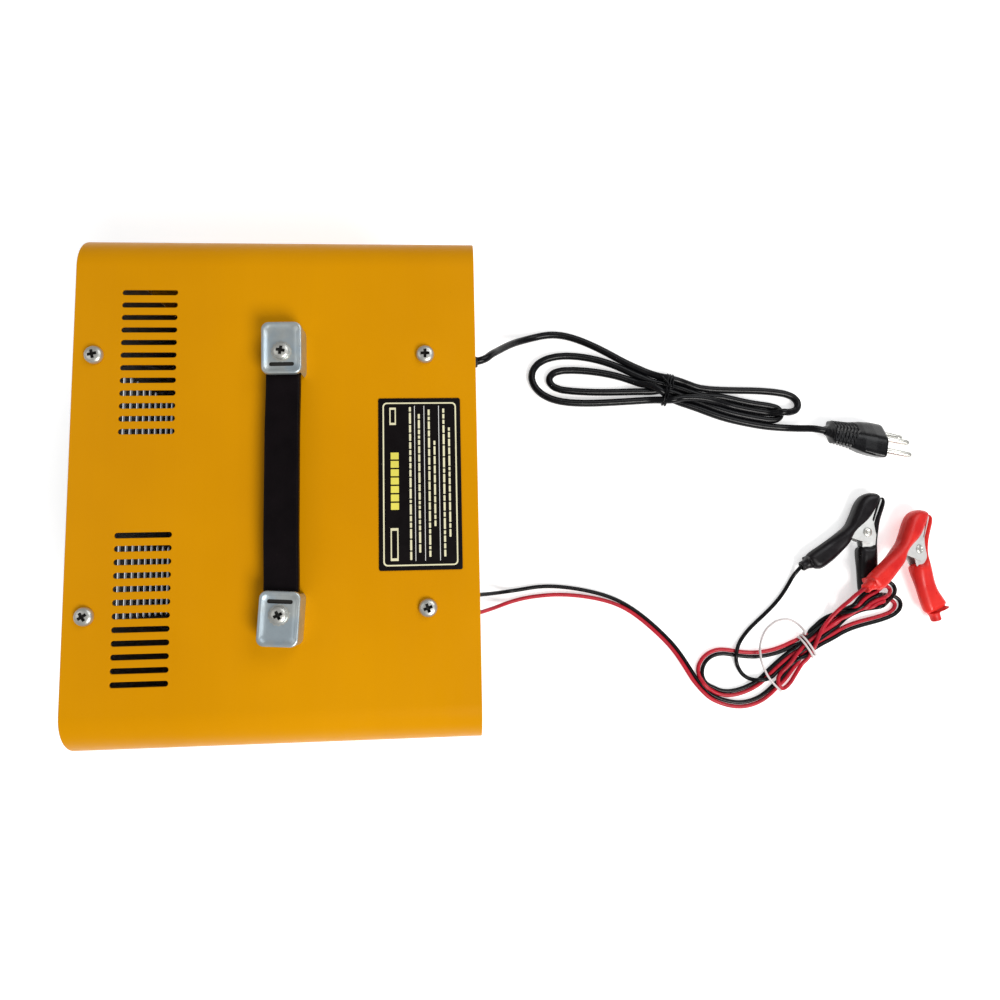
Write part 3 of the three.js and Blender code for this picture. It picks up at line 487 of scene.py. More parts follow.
def piece(name, bm, look, body=ROOT, replaces=(), sharp=32, weighted=False):
    """A visible piece: a smooth shaded mesh with one material that rides a body. It replaces the
    CAD nodes named, and edges sharper than an angle in degrees stay sharp."""
    bmesh.ops.recalc_face_normals(bm, faces=bm.faces)
    for face in bm.faces:
        face.smooth = True
    mesh = mesh_of(name, bm)
    mesh.set_sharp_from_angle(angle=math.radians(sharp))
    mesh.materials.append(LOOKS[look])
    obj = placed(name, mesh)
    if weighted:
        modifier = obj.modifiers.new("weighted", "WEIGHTED_NORMAL")
        modifier.keep_sharp = True
        modifier.weight = 100
    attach(obj, body)
    if replaces:
        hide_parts(*([replaces] if isinstance(replaces, str) else replaces))
    return obj


def tube(name, points, radius, look, replaces=(), sides=4, steps=12, straight=False):
    """A round cord or wire along points in mm, as a curve that rides the case. It runs smoothly
    through the points and has closed ends, unless it is straight between them."""
    curve = bpy.data.curves.new(name, "CURVE")
    curve.dimensions = "3D"
    curve.bevel_depth = radius * MM
    curve.bevel_resolution = sides
    curve.resolution_u = steps
    curve.use_fill_caps = not straight
    spline = curve.splines.new("POLY" if straight else "BEZIER")
    if straight:
        spline.points.add(len(points) - 1)
        for knot, point in zip(spline.points, points):
            knot.co = (*mm(*point), 1)
    else:
        spline.bezier_points.add(len(points) - 1)
        for knot, point in zip(spline.bezier_points, points):
            knot.co = mm(*point)
            knot.handle_left_type = knot.handle_right_type = "AUTO"
    curve.materials.append(LOOKS[look])
    obj = placed(name, curve)
    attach(obj, ROOT)
    if replaces:
        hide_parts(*replaces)
    return obj


def applied(obj, *modifiers):
    """Adds modifiers as (kind, settings) pairs and bakes them into the mesh."""
    for kind, settings in modifiers:
        modifier = obj.modifiers.new(kind.lower(), kind)
        for key, value in settings.items():
            setattr(modifier, key, value)
    bpy.context.view_layer.update()
    shown = obj.evaluated_get(bpy.context.evaluated_depsgraph_get())
    mesh = bpy.data.meshes.new_from_object(shown)
    obj.modifiers.clear()
    old = obj.data
    obj.data = mesh
    bpy.data.meshes.remove(old)
    return obj


def arc(cx, cy, r, start, end, steps):
    """Points on an arc about a centre, from a start angle to an end angle in degrees."""
    angles = [math.radians(start + (end - start) * i / steps) for i in range(steps + 1)]
    return [(cx + r * math.cos(a), cy + r * math.sin(a)) for a in angles]


def round_rect(cx, cy, w, h, r, steps=6):
    """A rectangle with round corners about a centre."""
    x, y = w / 2 - r, h / 2 - r
    return (arc(cx + x, cy - y, r, -90, 0, steps) + arc(cx + x, cy + y, r, 0, 90, steps)
            + arc(cx - x, cy + y, r, 90, 180, steps) + arc(cx - x, cy - y, r, 180, 270, steps))


def ring_loop(cx, cy, r, steps=32):
    return arc(cx, cy, r, 0, 360, steps)[:-1]


def capsule(cx, cy, w, h, steps=8):
    """A slot with round ends."""
    return round_rect(cx, cy, w, h, min(w, h) / 2 - 0.001, steps)


# ---------------------------------------------------------------- cords

MAINS_D, LEAD_D = 4.8, 2.6
FLOOR_GAP = 0.3
PLUG_AT = (38.8, -369.4, 11.85)
PLUG_HEADING = 11.6
PLUG_LENGTH, PLUG_HALF = 39.0, 18.0


def plug_axis(distance):
    """A point in mm on the plug's axis, at a distance behind its pins' face."""
    turn = math.radians(PLUG_HEADING)
    x, y, z = PLUG_AT
    return (x + math.sin(turn) * distance, y + math.cos(turn) * distance, z)


# Each route is a list of (x, y, z) in mm, from the case to the far end.
MAINS_ROUTE = [
    (88, -94.5, 34), (88.4, -98.6, 34), (92.2, -103.8, 33.2), (98.4, -109.8, 31), (104.6, -116.3, 28),
    (109.8, -123, 24), (113.4, -131.2, 18), (116.4, -142, 10.4), (117.2, -153.5, 3.8),
    (113.8, -166, 2.4), (105.5, -184, 2.4), (97, -198, 3), (88, -212, 6), (81.5, -226, 8),
    (78, -242, 7), (77, -270, 6), (76.8, -292, 6), (75, -309, 6), (71.5, -321, 6), (65.4, -324.6, 6.4),
    (60.4, -318, 7), (61.2, -294, 7), (66.5, -269, 7), (70.5, -247, 7), (73.5, -228, 7),
    (70.5, -209.7, 4), (69.3, -190, 2.4), (68.6, -169, 2.4), (70.6, -148, 2.4), (77.5, -136.4, 2.4),
    (88.7, -132.2, 2.4), (97.4, -137.6, 2.4), (102, -151.5, 2.4), (101.2, -170.4, 2.4),
    (95.9, -190.5, 3), (87, -209, 7), (80, -226, 4), (72.5, -247, 2.4), (68.5, -270, 2.4),
    (66.8, -291, 2.4), (64.6, -305, 2.4), (59.6, -312, 2.4), (54.4, -306, 2.4), (55, -296, 2.4),
    (58.6, -281, 2.4), (64.5, -262, 2.4), (71.5, -243, 3), (77.5, -228, 2.6), (77, -210, 2.4),
    (76.2, -190.3, 2.4), (76.6, -168.6, 2.4), (79.2, -147.6, 2.4), (84.6, -140.4, 2.8), (90, -144.5, 3),
    (92, -157.3, 2.4), (91.2, -174, 2.4), (88.3, -191.8, 2.4), (82.5, -210.5, 5), (75, -228, 4),
    (66.8, -249.8, 3.4), (58.4, -269.1, 2.6), (53.4, -289.2, 2.4), (51.2, -305, 3), (49.6, -318, 7.4),
    plug_axis(PLUG_LENGTH + 4), plug_axis(PLUG_LENGTH - 3),
]

PAIR_RUN_BLACK = [
    (-58, -77.5, 33), (-57.6, -90, 32), (-57.2, -107, 23.5), (-55.4, -123, 10), (-53.4, -138, 2.6),
    (-55.5, -160, 1.6), (-62.5, -185.5, 2.4), (-71.2, -199.5, 3.8), (-82.4, -212.1, 3.9),
    (-95.4, -224.6, 3.9), (-107, -231.8, 3.9), (-119.8, -240.8, 2.6),
]
PAIR_RUN_RED = [
    (-70, -77.5, 33), (-69.8, -90, 32), (-66.6, -106, 23), (-61.8, -121, 11), (-59.6, -136, 3),
    (-59.1, -150, 1.4), (-61.5, -170, 1.4), (-66.4, -187.5, 1.4), (-73.6, -199.8, 1.4),
    (-84.6, -212.6, 1.4), (-97.6, -225, 1.4), (-109.5, -232.4, 1.4), (-123.5, -241.5, 1.4),
]
# The pair's path through the hank: round its near end, along to its far end and back, and along
# to the far end again, ending where the two leads part.
PAIR_HANK = [
    (-131, -252.5, 1.4), (-134.6, -267.5, 1.4), (-130.6, -282, 1.4), (-122.5, -291.5, 1.6),
    (-111, -301, 2.6), (-99, -314, 4.4), (-90.5, -331, 3), (-84.6, -347, 1.6), (-81, -364, 1.4),
    (-77.6, -376, 1.4), (-72.4, -382.6, 1.6), (-67.4, -382.5, 2.6), (-65.9, -369, 6),
    (-67.2, -355.6, 12.4), (-74.4, -341, 9), (-84, -326, 4), (-93.5, -312, 3.6), (-99.5, -296, 4.6),
    (-102.3, -280, 4.6), (-100.6, -264.5, 1.6), (-98.2, -254, 1.4), (-102.4, -244.4, 1.4),
    (-111.4, -239.5, 2), (-120.3, -241.5, 5.6), (-126.5, -252, 4.2), (-126, -266, 1.6),
    (-119.5, -281, 2), (-108.5, -295, 4.6), (-97.5, -309.5, 6.6), (-86.5, -327, 6), (-74.6, -343, 8),
    (-63, -354.5, 12.4), (-57.4, -366, 9.5), (-56.2, -376, 7), (-60.2, -381.4, 5.2), (-65.2, -375.6, 6),
    (-67.8, -364, 9.5), (-70.6, -354, 12.6), (-79, -340, 9), (-89.5, -326, 8), (-98.4, -311.5, 8.4),
]
BLACK_END = [
    (-107, -299.5, 6), (-115, -290, 4), (-119.6, -280.5, 3.4), (-118.4, -271.6, 3.6),
    (-111.4, -266.2, 4), (-100.6, -265, 5.4), (-88, -272, 2.6), (-76, -286.4, 1.6),
    (-66.1, -297.4, 2.6), (-58.6, -303.2, 4.4), (-51.2, -307.4, 5.8),
]
RED_END = [
    (-106.5, -302, 7), (-115, -294.4, 4.4), (-123, -290.6, 2.8), (-127.4, -292.6, 2.4),
    (-126, -297.4, 2.6), (-118, -303.6, 4.6), (-107.4, -310.6, 9), (-93.4, -319.4, 13.6),
    (-79.4, -330.2, 18.4), (-69.2, -338.8, 22.2),
]

# The points of the pair's hank at which the two leads have changed sides.
FAR_LOOP = range(5, 16)

# A clip's rivet, its turn about Z, and its tip about X at a line y = hinge. fixed and moving are the
# angles of its two grips.
CLIP_HEIGHT, BOOT_HALF = 6.1, 6.0
BLACK_CLIP = dict(x=-22.5, y=-356.8, turn=-19.7, tilt=0.0, hinge=0.0, fixed=135.0, moving=200.0)
RED_CLIP = dict(x=-34.8, y=-386.0, turn=-20.0, tilt=14.5, hinge=-404.0, fixed=139.0, moving=217.0)


def clip_matrix(clip):
    """From a clip's own frame in mm, with its rivet at the origin, to the row frame in metres."""
    lay = Matrix.Translation((clip["x"], clip["y"] - clip["hinge"], CLIP_HEIGHT))
    lay = lay @ Matrix.Rotation(math.radians(clip["turn"]), 4, "Z")
    to_hinge = Matrix.Translation((0, clip["hinge"], 0))
    tip = to_hinge @ Matrix.Rotation(math.radians(clip["tilt"]), 4, "X")
    return Matrix.Scale(MM, 4) @ tip @ lay


def in_grip(clip, distance, side=0.8):
    """A point in mm on the axis of the clip's cable grip, at a distance from its rivet."""
    along = spun([(distance, side)], clip["fixed"])[0]
    return tuple(clip_matrix(clip) @ Vector((*along, 0)) / MM)


def beside(path, offset, swapped=()):
    """A path moved sideways in the plane by an offset, to its left for a positive one and to its
    right over the swapped points, where the lead on the left climbs over the other to change sides."""
    moved = []
    for i, point in enumerate(path):
        a, b = path[max(i - 1, 0)], path[min(i + 1, len(path) - 1)]
        dx, dy = b[0] - a[0], b[1] - a[1]
        length = math.hypot(dx, dy)
        aside = -offset if i in swapped else offset
        changing = (i in swapped) != (i + 1 in swapped) or (i in swapped) != (i - 1 in swapped)
        climb = LEAD_D * 0.8 if changing and offset > 0 else 0
        moved.append((point[0] - dy / length * aside, point[1] + dx / length * aside, point[2] + climb))
    return moved


def between(p, q, at_p, at_q, t):
    """The point at t on the straight line that passes p at at_p and q at at_q."""
    return (at_q - t) / (at_q - at_p) * p + (t - at_p) / (at_q - at_p) * q


def smooth_path(points, step):
    """A centripetal Catmull-Rom curve through the points, as evenly spaced samples."""
    samples = 24
    p = np.array(points, float)
    p = np.vstack([2 * p[0] - p[1], p, 2 * p[-1] - p[-2]])
    dense = []
    for i in range(1, len(p) - 2):
        p0, p1, p2, p3 = p[i - 1:i + 3]
        t0 = 0.0
        t1 = t0 + math.sqrt(np.linalg.norm(p1 - p0))
        t2 = t1 + math.sqrt(np.linalg.norm(p2 - p1))
        t3 = t2 + math.sqrt(np.linalg.norm(p3 - p2))
        for t in np.linspace(t1, t2, samples, endpoint=False):
            first = between(p0, p1, t0, t1, t)
            middle = between(p1, p2, t1, t2, t)
            last = between(p2, p3, t2, t3, t)
            before = between(first, middle, t0, t2, t)
            after = between(middle, last, t1, t3, t)
            dense.append(between(before, after, t1, t2, t))
    dense.append(p[-2])
    dense = np.array(dense)
    run = np.concatenate([[0], np.cumsum(np.linalg.norm(np.diff(dense, axis=0), axis=1))])
    count = max(4, int(round(run[-1] / step)))
    at = np.linspace(0, run[-1], count + 1)
    return np.stack([np.interp(at, run, dense[:, k]) for k in range(3)], 1)


def floor_under_mains(points):
    """The least height of the mains cord's centre."""
    return np.full(len(points), MAINS_D / 2 + FLOOR_GAP)


def ground_under_leads(points):
    """The least height of a lead's centre: the floor, or the black clip's lever and what it sweeps."""
    sweep_start, sweep_end, reach_end, lever_top = 146, 192, 53.0, 10.9
    fade_angle, fade_reach = 4, 3.0
    dx, dy = points[:, 0] - BLACK_CLIP["x"], points[:, 1] - BLACK_CLIP["y"]
    angle = np.degrees(np.arctan2(dy, dx)) % 360
    over = np.clip((reach_end - np.hypot(dx, dy)) / fade_reach, 0, 1)
    over *= np.clip((sweep_end - angle) / fade_angle, 0, 1)
    over *= np.clip((angle - sweep_start) / fade_angle, 0, 1)
    floor = np.full(len(points), LEAD_D / 2 + FLOOR_GAP)
    return np.maximum(floor, (LEAD_D / 2 + lever_top) * over)


def ease_bends(strand, middle, loose, least_bend):
    """Moves the points of a strand that bend tighter than a radius towards their neighbours' middle."""
    before, after = strand[1:-1] - strand[:-2], strand[2:] - strand[1:-1]
    step = 0.5 * (np.linalg.norm(before, axis=1) + np.linalg.norm(after, axis=1))
    radius = step ** 2 / np.maximum(np.linalg.norm(after - before, axis=1), 1e-6)
    margin, shared, strength = 1.3, 0.6, 0.5
    tight = np.clip(margin - radius / least_bend, 0, 1) * loose
    tight = np.maximum(tight, shared * np.convolve(tight, [1, 0, 1], "same"))
    strand[1:-1] += strength * (np.minimum(tight, 1) * loose)[:, None] * (middle - strand[1:-1])


def keep_lengths(strand, free, lengths):
    """Moves neighbouring points to their distance along the cord, every second pair at a time."""
    for parity in (0, 1):
        i = np.arange(parity, len(strand) - 1, 2)
        d = strand[i + 1] - strand[i]
        size = np.linalg.norm(d, axis=1, keepdims=True)
        fix = 0.5 * (size - lengths[i][:, None]) * d / np.maximum(size, 1e-9)
        strand[i] += fix * free[i][:, None]
        strand[i + 1] -= fix * free[i + 1][:, None]


def push_apart(points, free, allowed, distance):
    """Moves the allowed pairs of points that are nearer than a distance away from one another."""
    square = (points ** 2).sum(1)
    gap = square[:, None] + square[None, :] - 2 * points @ points.T
    a, b = np.nonzero(allowed & (gap < distance ** 2))
    if not len(a):
        return
    d = points[b] - points[a]
    size = np.linalg.norm(d, axis=1)
    same_place = size < 1e-6
    d[same_place] = (0, 0, 1)
    size[same_place] = 1.0
    push = 0.5 * (distance - size)[:, None] * d / size[:, None]
    move = np.zeros_like(points)
    hits = np.zeros(len(points))
    np.add.at(move, a, -push)
    np.add.at(move, b, push)
    np.add.at(hits, a, 1)
    np.add.at(hits, b, 1)
    move /= np.maximum(hits, 1)[:, None] ** 0.5
    points[free] += move[free]


def settle(cords, diameter, ground, rounds, least_bend):
    """Lets cords lie: no two strands closer than a diameter, none below the ground, each as long as
    it was and near its route. cords is a list of (points, pinned start count, pinned end count)."""
    sink, hold, straighten, spread = 0.12, 0.05, 0.16, 1.02
    calm_after, calm, ease_after = 0.7, 0.3, 0.95
    sizes = [len(path) for path, _, _ in cords]
    points = np.vstack([path for path, _, _ in cords]).astype(float)
    home = points.copy()
    cord_of = np.repeat(np.arange(len(cords)), sizes)
    along = np.concatenate([np.arange(n) for n in sizes])
    ends = np.cumsum(sizes)
    starts = ends - np.array(sizes)
    free = np.ones(len(points), bool)
    lengths = []
    for (path, first, last), start, end in zip(cords, starts, ends):
        free[start:start + first] = False
        free[end - last:end] = False
        lengths.append(np.linalg.norm(np.diff(path, axis=0), axis=1))
    # Points of one cord within this many samples of one another may be closer than a diameter.
    spacing = float(np.mean(np.concatenate(lengths)))
    near = int(math.ceil(2.2 * diameter / spacing))
    same_cord = cord_of[:, None] == cord_of[None, :]
    neighbours = same_cord & (np.abs(along[:, None] - along[None, :]) <= near)
    allowed = np.triu(~neighbours, 1)
    for turn in range(rounds):
        ease = 1.0 if turn < rounds * calm_after else calm
        points[free, 2] -= sink * ease
        points[free, :2] += hold * ease * (home[free, :2] - points[free, :2])
        for start, end, length in zip(starts, ends, lengths):
            strand = points[start:end]
            middle = 0.5 * (strand[:-2] + strand[2:])
            loose = free[start + 1:end - 1]
            strand[1:-1][loose] += straighten * (middle - strand[1:-1])[loose]
            if turn < rounds * ease_after:
                keep_lengths(strand, free[start:end], length)
            else:
                ease_bends(strand, middle, loose, least_bend)
        for _ in range(2):
            push_apart(points, free, allowed, diameter * spread)
            least = ground(points)
            low = free & (points[:, 2] < least)
            points[low, 2] = least[low]
    return [points[start:end] for start, end in zip(starts, ends)]


def cord_curve(name, path, diameter, look, replaces):
    """A cord along the path, with a knot at every second sample."""
    knots = path[::2]
    if np.linalg.norm(knots[-1] - path[-1]) > 0.2 * np.linalg.norm(path[1] - path[0]):
        knots = np.vstack([knots, path[-1]])
    return tube(name, knots, diameter / 2, look, replaces, sides=6, steps=6)


def make_cords():
    """The settled paths of the mains cord, the black lead and the red lead. The samples at the case,
    at the plug and in a clip's grip don't move."""
    rounds = 320
    at_case, at_plug, in_clip = 4, 4, 8
    mains = (smooth_path(MAINS_ROUTE, 3.6), at_case, at_plug)
    (mains,) = settle([mains], MAINS_D, floor_under_mains, rounds, least_bend=7.0)
    half = LEAD_D / 2 + 0.1
    leads = []
    for run, offset, end, clip in ((PAIR_RUN_BLACK, half, BLACK_END, BLACK_CLIP),
                                   (PAIR_RUN_RED, -half, RED_END, RED_CLIP)):
        grip = [in_grip(clip, distance) for distance in (50, 43, 30)]
        route = run + beside(PAIR_HANK, offset, FAR_LOOP) + end + grip
        leads.append((smooth_path(route, 2.6), at_case, in_clip))
    black, red = settle(leads, LEAD_D, ground_under_leads, rounds, least_bend=4.5)
    return mains, black, red


# ---------------------------------------------------------------- case

CASE_W, CASE_D, CASE_H = 240.0, 184.0, 140.0
BEND_R, SHEET = 18.0, 1.0
COVER_LOW = 8.2
FOOT_X, FOOT_Y = 100, 52
SCREW_HOLE = 2.3
# Each cover screw's place, and the turn of its cross.
SCREWS = [("rear_left", -59.1, 82.3, 32), ("rear_right", 59.1, 82.3, 102),
          ("front_left", -59.1, -68.3, 20), ("front_right", 59.1, -68.3, 90)]
# The handle's middle, and how far its screws are to each side of it.
HANDLE_X, HANDLE_Y, HANDLE_SCREW = -1.3, -4.2, 58.8
# Places of the parts on the front panel, and of a vent slot and the row it is in.
METER_X, METER_Z = 0, 93
LEFT_X, RIGHT_X, LOW_Z, HIGH_Z = -66, 66, 66, 98
VENT = dict(count=12, width=2.5, first=23.6, last=89.1, middle=58.45, length=25.1)


def cut_across(bm, positions, axis):
    """Cuts the mesh along planes at the given places on an axis."""
    normal = Vector((0, 0, 0))
    normal[axis] = 1
    for at in positions:
        place = Vector((0, 0, 0))
        place[axis] = at * MM
        geometry = bm.verts[:] + bm.edges[:] + bm.faces[:]
        bmesh.ops.bisect_plane(bm, geom=geometry, plane_co=place, plane_no=normal, dist=1e-7)


def make_cover():
    """The cover as one flat sheet with its vents punched, then folded down at both sides."""
    flat_half = CASE_W / 2 - BEND_R
    neutral = BEND_R - SHEET / 2
    bend = neutral * math.pi / 2
    reach = flat_half + bend + (CASE_H - BEND_R - COVER_LOW)
    loops = [round_rect(0, 0, 2 * reach, CASE_D, 2.5)]
    pitch = (VENT["last"] - VENT["first"]) / (VENT["count"] - 1)
    for side in (-1, 1):
        for i in range(VENT["count"]):
            x = side * (VENT["first"] + i * pitch)
            loops.append(capsule(x, VENT["middle"], VENT["width"], VENT["length"], 5))
        loops.append(ring_loop(HANDLE_X + side * HANDLE_SCREW, HANDLE_Y, SCREW_HOLE, 16))
    loops += [ring_loop(x, y, SCREW_HOLE, 16) for _, x, y, _ in SCREWS]
    bm = plate_bm(loops, -SHEET / 2, SHEET / 2, 0.3, flat, steps=2)
    bend_steps = 14
    cuts = [flat_half + bend * i / bend_steps for i in range(bend_steps + 1)]
    cut_across(bm, [-c for c in cuts] + cuts, 0)
    cut_across(bm, [-60, -30, 0, 30], 1)
    for vert in bm.verts:
        s, y, h = vert.co / MM
        side, s = (1 if s > 0 else -1), abs(s)
        turn = min(max(s - flat_half, 0) / neutral, math.pi / 2)
        below = max(s - flat_half - bend, 0)
        x = min(s, flat_half) + (neutral + h) * math.sin(turn)
        z = CASE_H - BEND_R + (neutral + h) * math.cos(turn) - below
        vert.co = mm(side * x, y, z)
    piece("top_cover_sheet", bm, "yellow", replaces="top_cover", sharp=50,
          weighted=True)


def panel_outline():
    """An end panel, square below and round at its two upper corners like the cover's bends."""
    half, low, high, r = 118.7, 9.5, 138.7, 16.7
    return ([(-half, low), (half, low)] + arc(half - r, high - r, r, 0, 90, 10)
            + arc(-half + r, high - r, r, 90, 180, 10))


def make_panel(side, look, inner, flange_y, holes):
    """An end panel with its holes, and its two flanges as flat plates joined to it. inner is how far in
    front of the middle its rear face is, and flange_y the flanges' middle."""
    sheet = 1.2
    parts = [plate_bm([panel_outline()] + holes, inner, inner + sheet, 0.25, forward)]
    for z in (137.5, 9.5):
        parts.append(plate_bm([round_rect(0, flange_y, 201.4, 13.9, 1)], z, z + sheet, 0.3, flat))
    node = side + "_panel"
    piece(node + "_sheet", merged(*parts), look, replaces=node, weighted=True)


def make_panels():
    front_holes = [
        ring_loop(METER_X, METER_Z, 23.2, 40),
        round_rect(RIGHT_X, HIGH_Z, 22, 28, 1),
        round_rect(RIGHT_X, LOW_Z, 18.6, 10.6, 1),
        ring_loop(LEFT_X, LOW_Z, 7.2),
        ring_loop(LEFT_X, HIGH_Z, 4.3),
        ring_loop(88, 34, 6.9),
        round_rect(-64, 33, 21, 9, 4.4),
    ]
    make_panel("front", "panel", inner=74.8, flange_y=-68.45, holes=front_holes)
    slots = [capsule(side * 44, 32.7 + row * 7.7, 40, 3, 5) for side in (-1, 1) for row in range(10)]
    make_panel("rear", "galvanised", inner=-90.7, flange_y=83.15, holes=slots)


def make_feet():
    profile = [[0, 0], [7.6, 0], [8.4, 0.25], [8.9, 0.8], [9, 1.5], [8.2, 7.2], [7.9, 7.6], [7.4, 7.7],
               [2.7, 7.7], [2.7, 9.5], [3.9, 9.5], [3.6, 10.4], [2.6, 12.2], [0, 12.2]]
    for end, sy in (("front", -1), ("rear", 1)):
        for hand, sx in (("left", -1), ("right", 1)):
            corner = f"{end}_{hand}"
            bm = turned_bm(profile, mm(sx * FOOT_X, sy * FOOT_Y, 0))
            piece("foot_pad_" + corner, bm, "rubber", replaces="foot_" + corner)


def cross_cutter(at, reach, depth, turn):
    """A tapered cross, pointing down, for a screw's recess, as two crossed bars."""
    bars = []
    for k in (0, 1):
        angle = math.radians(turn) + k * math.pi / 2
        c, s = math.cos(angle), math.sin(angle)
        rings = []
        for size, z in ((0.35, -depth), (1.0, 0.0), (1.35, depth * 0.8)):
            ring = []
            for a, b in ((-1, -1), (1, -1), (1, 1), (-1, 1)):
                u, v = a * reach * size, b * 0.7 * (0.6 + 0.4 * size)
                ring.append(Vector(at) + Vector(mm(u * c - v * s, u * s + v * c, z)))
            rings.append(ring)
        bars.append(rings_bm(rings))
    return bars


def subtract(obj, cutters):
    """Cuts closed meshes out of an object."""
    for bm in cutters:
        bmesh.ops.recalc_face_normals(bm, faces=bm.faces)
        mesh = mesh_of("cutter", bm)
        tool = placed("cutter", mesh)
        applied(obj, ("BOOLEAN", dict(operation="DIFFERENCE", object=tool, solver="EXACT")))
        bpy.data.objects.remove(tool)
        bpy.data.meshes.remove(mesh)
    for face in obj.data.polygons:
        face.use_smooth = True
    obj.data.set_sharp_from_angle(angle=math.radians(32))
    return obj


def paint_recess_shade(obj, inside):
    """Gives the near-black recess look, painted shade, to the faces whose centre and normal pass a
    test.
    """
    obj.data.materials.append(LOOKS["recess"])
    for face in obj.data.polygons:
        if inside(face.center, face.normal):
            face.material_index = 1


def pan_screw(name, node, at, head, height, shank, length, turn):
    """A pan head screw with a cross recess. The sizes are its head's radius and height, and its
    shank's radius and length."""
    profile = [[0, -length], [shank - 0.6, -length], [shank, 1 - length], [shank, 0], [head - 0.25, 0],
               [head, 0.22], [head, height * 0.32], [head * 0.96, height * 0.55],
               [head * 0.84, height * 0.78], [head * 0.6, height * 0.93], [head * 0.3, height * 0.99],
               [0, height]]
    obj = piece(name, turned_bm(profile, at, segments=40), "screw", replaces=node)
    top = Vector(at) + Vector((0, 0, height * MM))
    subtract(obj, cross_cutter(top, head * 0.52, height * 0.7, turn))

    def in_recess(centre, normal):
        out = (centre - top) / MM
        near_axis = math.hypot(out.x, out.y) < head * 0.6 and out.z > -height
        return near_axis and (normal.z < 0.7 or out.z < -0.3 * height)

    # Faces inside the cross get the near-black look: painted shade in the recess.
    paint_recess_shade(obj, in_recess)


def star_washer(name, at, head):
    """A thin toothed washer under a screw's head."""
    def teeth(angle, height):
        return 1.0 + 0.075 * (math.cos(14 * angle) > 0)

    profile = [[2.2, 0.02], [head + 0.35, 0.02], [head + 0.45, 0.25], [2.2, 0.25]]
    ring = turned_bm(profile, Vector(at) - Vector(mm(0, 0, 0.04)), segments=84, wobble=teeth)
    piece(name, ring, "screw")


def make_cover_screws():
    for where, x, y, turn in SCREWS:
        name = "screw_" + where
        pan_screw("cover_pan_" + name, "cover_" + name, mm(x, y, CASE_H + 0.1), 4.2, 2.7, 1.9, 9, turn)


# ---------------------------------------------------------------- handle


def make_handle_cap(hand, side):
    """A pressed end cap over the strap's end, hollow below, with a mouth for the strap, a slot
    behind it and a hole for its screw. The left one leans more about its screw."""
    end, mouth, width, wall = 72.5, 48.4, 18.0, 1.1
    length, middle = end - mouth, (end + mouth) / 2
    lean = -3.5 if side < 0 else 0.8
    top_inset_z_radius = [
        (0, 0.1, 3.4), (0, 10.1, 3.4), (0.08, 10.5, 3.3), (0.3, 10.82, 3.2), (0.62, 10.96, 3.0),
        (1.05, 10.98, 2.8), (1.4, 10.9, 2.6), (1.9, 10.6, 2.5), (2.5, 10.3, 2.6), (3.3, 10.12, 2.8),
        (4.2, 10.06, 2.6),
    ]

    def layer(loop, z):
        return [Vector(mm(HANDLE_X + side * a, HANDLE_Y + b, CASE_H + z)) for a, b in loop]

    def block(a0, a1, half, z0, z1, r):
        loop = round_rect((a0 + a1) / 2, 0, a1 - a0, 2 * half, r, 4)
        return rings_bm([layer(loop, z0), layer(loop, z1)])

    rings = [layer(round_rect(middle, 0, length - 2 * inset, width - 2 * inset, r, 8), z)
             for inset, z, r in top_inset_z_radius]
    cap = piece("handle_cap_" + hand + "_pressing", rings_bm(rings), "zinc",
                replaces="handle_cap_" + hand)
    inside = block(mouth + wall, end - wall, width / 2 - wall, -1, 9, 2.4)
    opening = block(mouth - 2, mouth + 3, 8.0, -1, 8.9, 0.4)
    slot = block(mouth + 3.7, mouth + 5.5, 5.5, 9.35, 12, 0.8)
    hole = SCREW_HOLE
    bore = block(HANDLE_SCREW - hole, HANDLE_SCREW + hole, hole, 7, 12, hole - 0.01)
    subtract(cap, [inside, opening, slot, bore])

    def in_slot(centre, normal):
        along, aside, up = centre / MM - Vector((HANDLE_X, HANDLE_Y, CASE_H))
        return 3.6 < side * along - mouth < 5.6 and 9.3 < up < 10.0 and abs(aside) < 5.6

    # Faces in the slot below the cap's top get the near-black look: painted shade in the slot.
    paint_recess_shade(cap, in_slot)
    pivot = Vector(mm(HANDLE_X + side * HANDLE_SCREW, HANDLE_Y, 0))
    turn = Matrix.Rotation(math.radians(lean), 4, "Z")
    cap.data.transform(Matrix.Translation(pivot) @ turn @ Matrix.Translation(-pivot))


def make_strap():
    """The strap: a flat moulded band with rounded edges and a slotted end under each cap, which
    rises a little towards its middle."""
    half, end, thickness, seat = 7.6, 68.0, 4.2, 3.6
    rise, rise_from, rise_over = 1.3, 46.4, 26.0
    slots = [capsule(side * HANDLE_SCREW, 0, 13, 5.6) for side in (-1, 1)]
    outline = round_rect(0, 0, 2 * end, 2 * half, 2.0, 6)
    bm = plate_bm([outline] + slots, 0, thickness, 0.9, flat, steps=4)
    cut_across(bm, [i * 3.0 for i in range(-15, 16)], 0)
    for vert in bm.verts:
        x, y, h = vert.co / MM
        k = min(max((rise_from - abs(x)) / rise_over, 0), 1)
        lift = rise * k * k * (3 - 2 * k)
        vert.co = mm(HANDLE_X + x, HANDLE_Y + y, CASE_H + seat + h + lift)
    piece("handle_strap_band", bm, "strap", replaces="handle_strap", sharp=60)


def make_handle():
    make_strap()
    for hand, side, turn in (("left", -1, 25), ("right", 1, -10)):
        make_handle_cap(hand, side)
        at = mm(HANDLE_X + side * HANDLE_SCREW, HANDLE_Y, CASE_H + 10.1)
        name = "handle_pan_screw_" + hand
        pan_screw(name, "handle_screw_" + hand, at, 4, 2.6, 2, 17, turn)
        star_washer(name + "_washer", at, 4)


# ---------------------------------------------------------------- label

LABEL_X, LABEL_Y, LABEL_W, LABEL_D = -2.0, -65.3, 80.0, 38.0
LABEL_TOP = CASE_H + 0.5


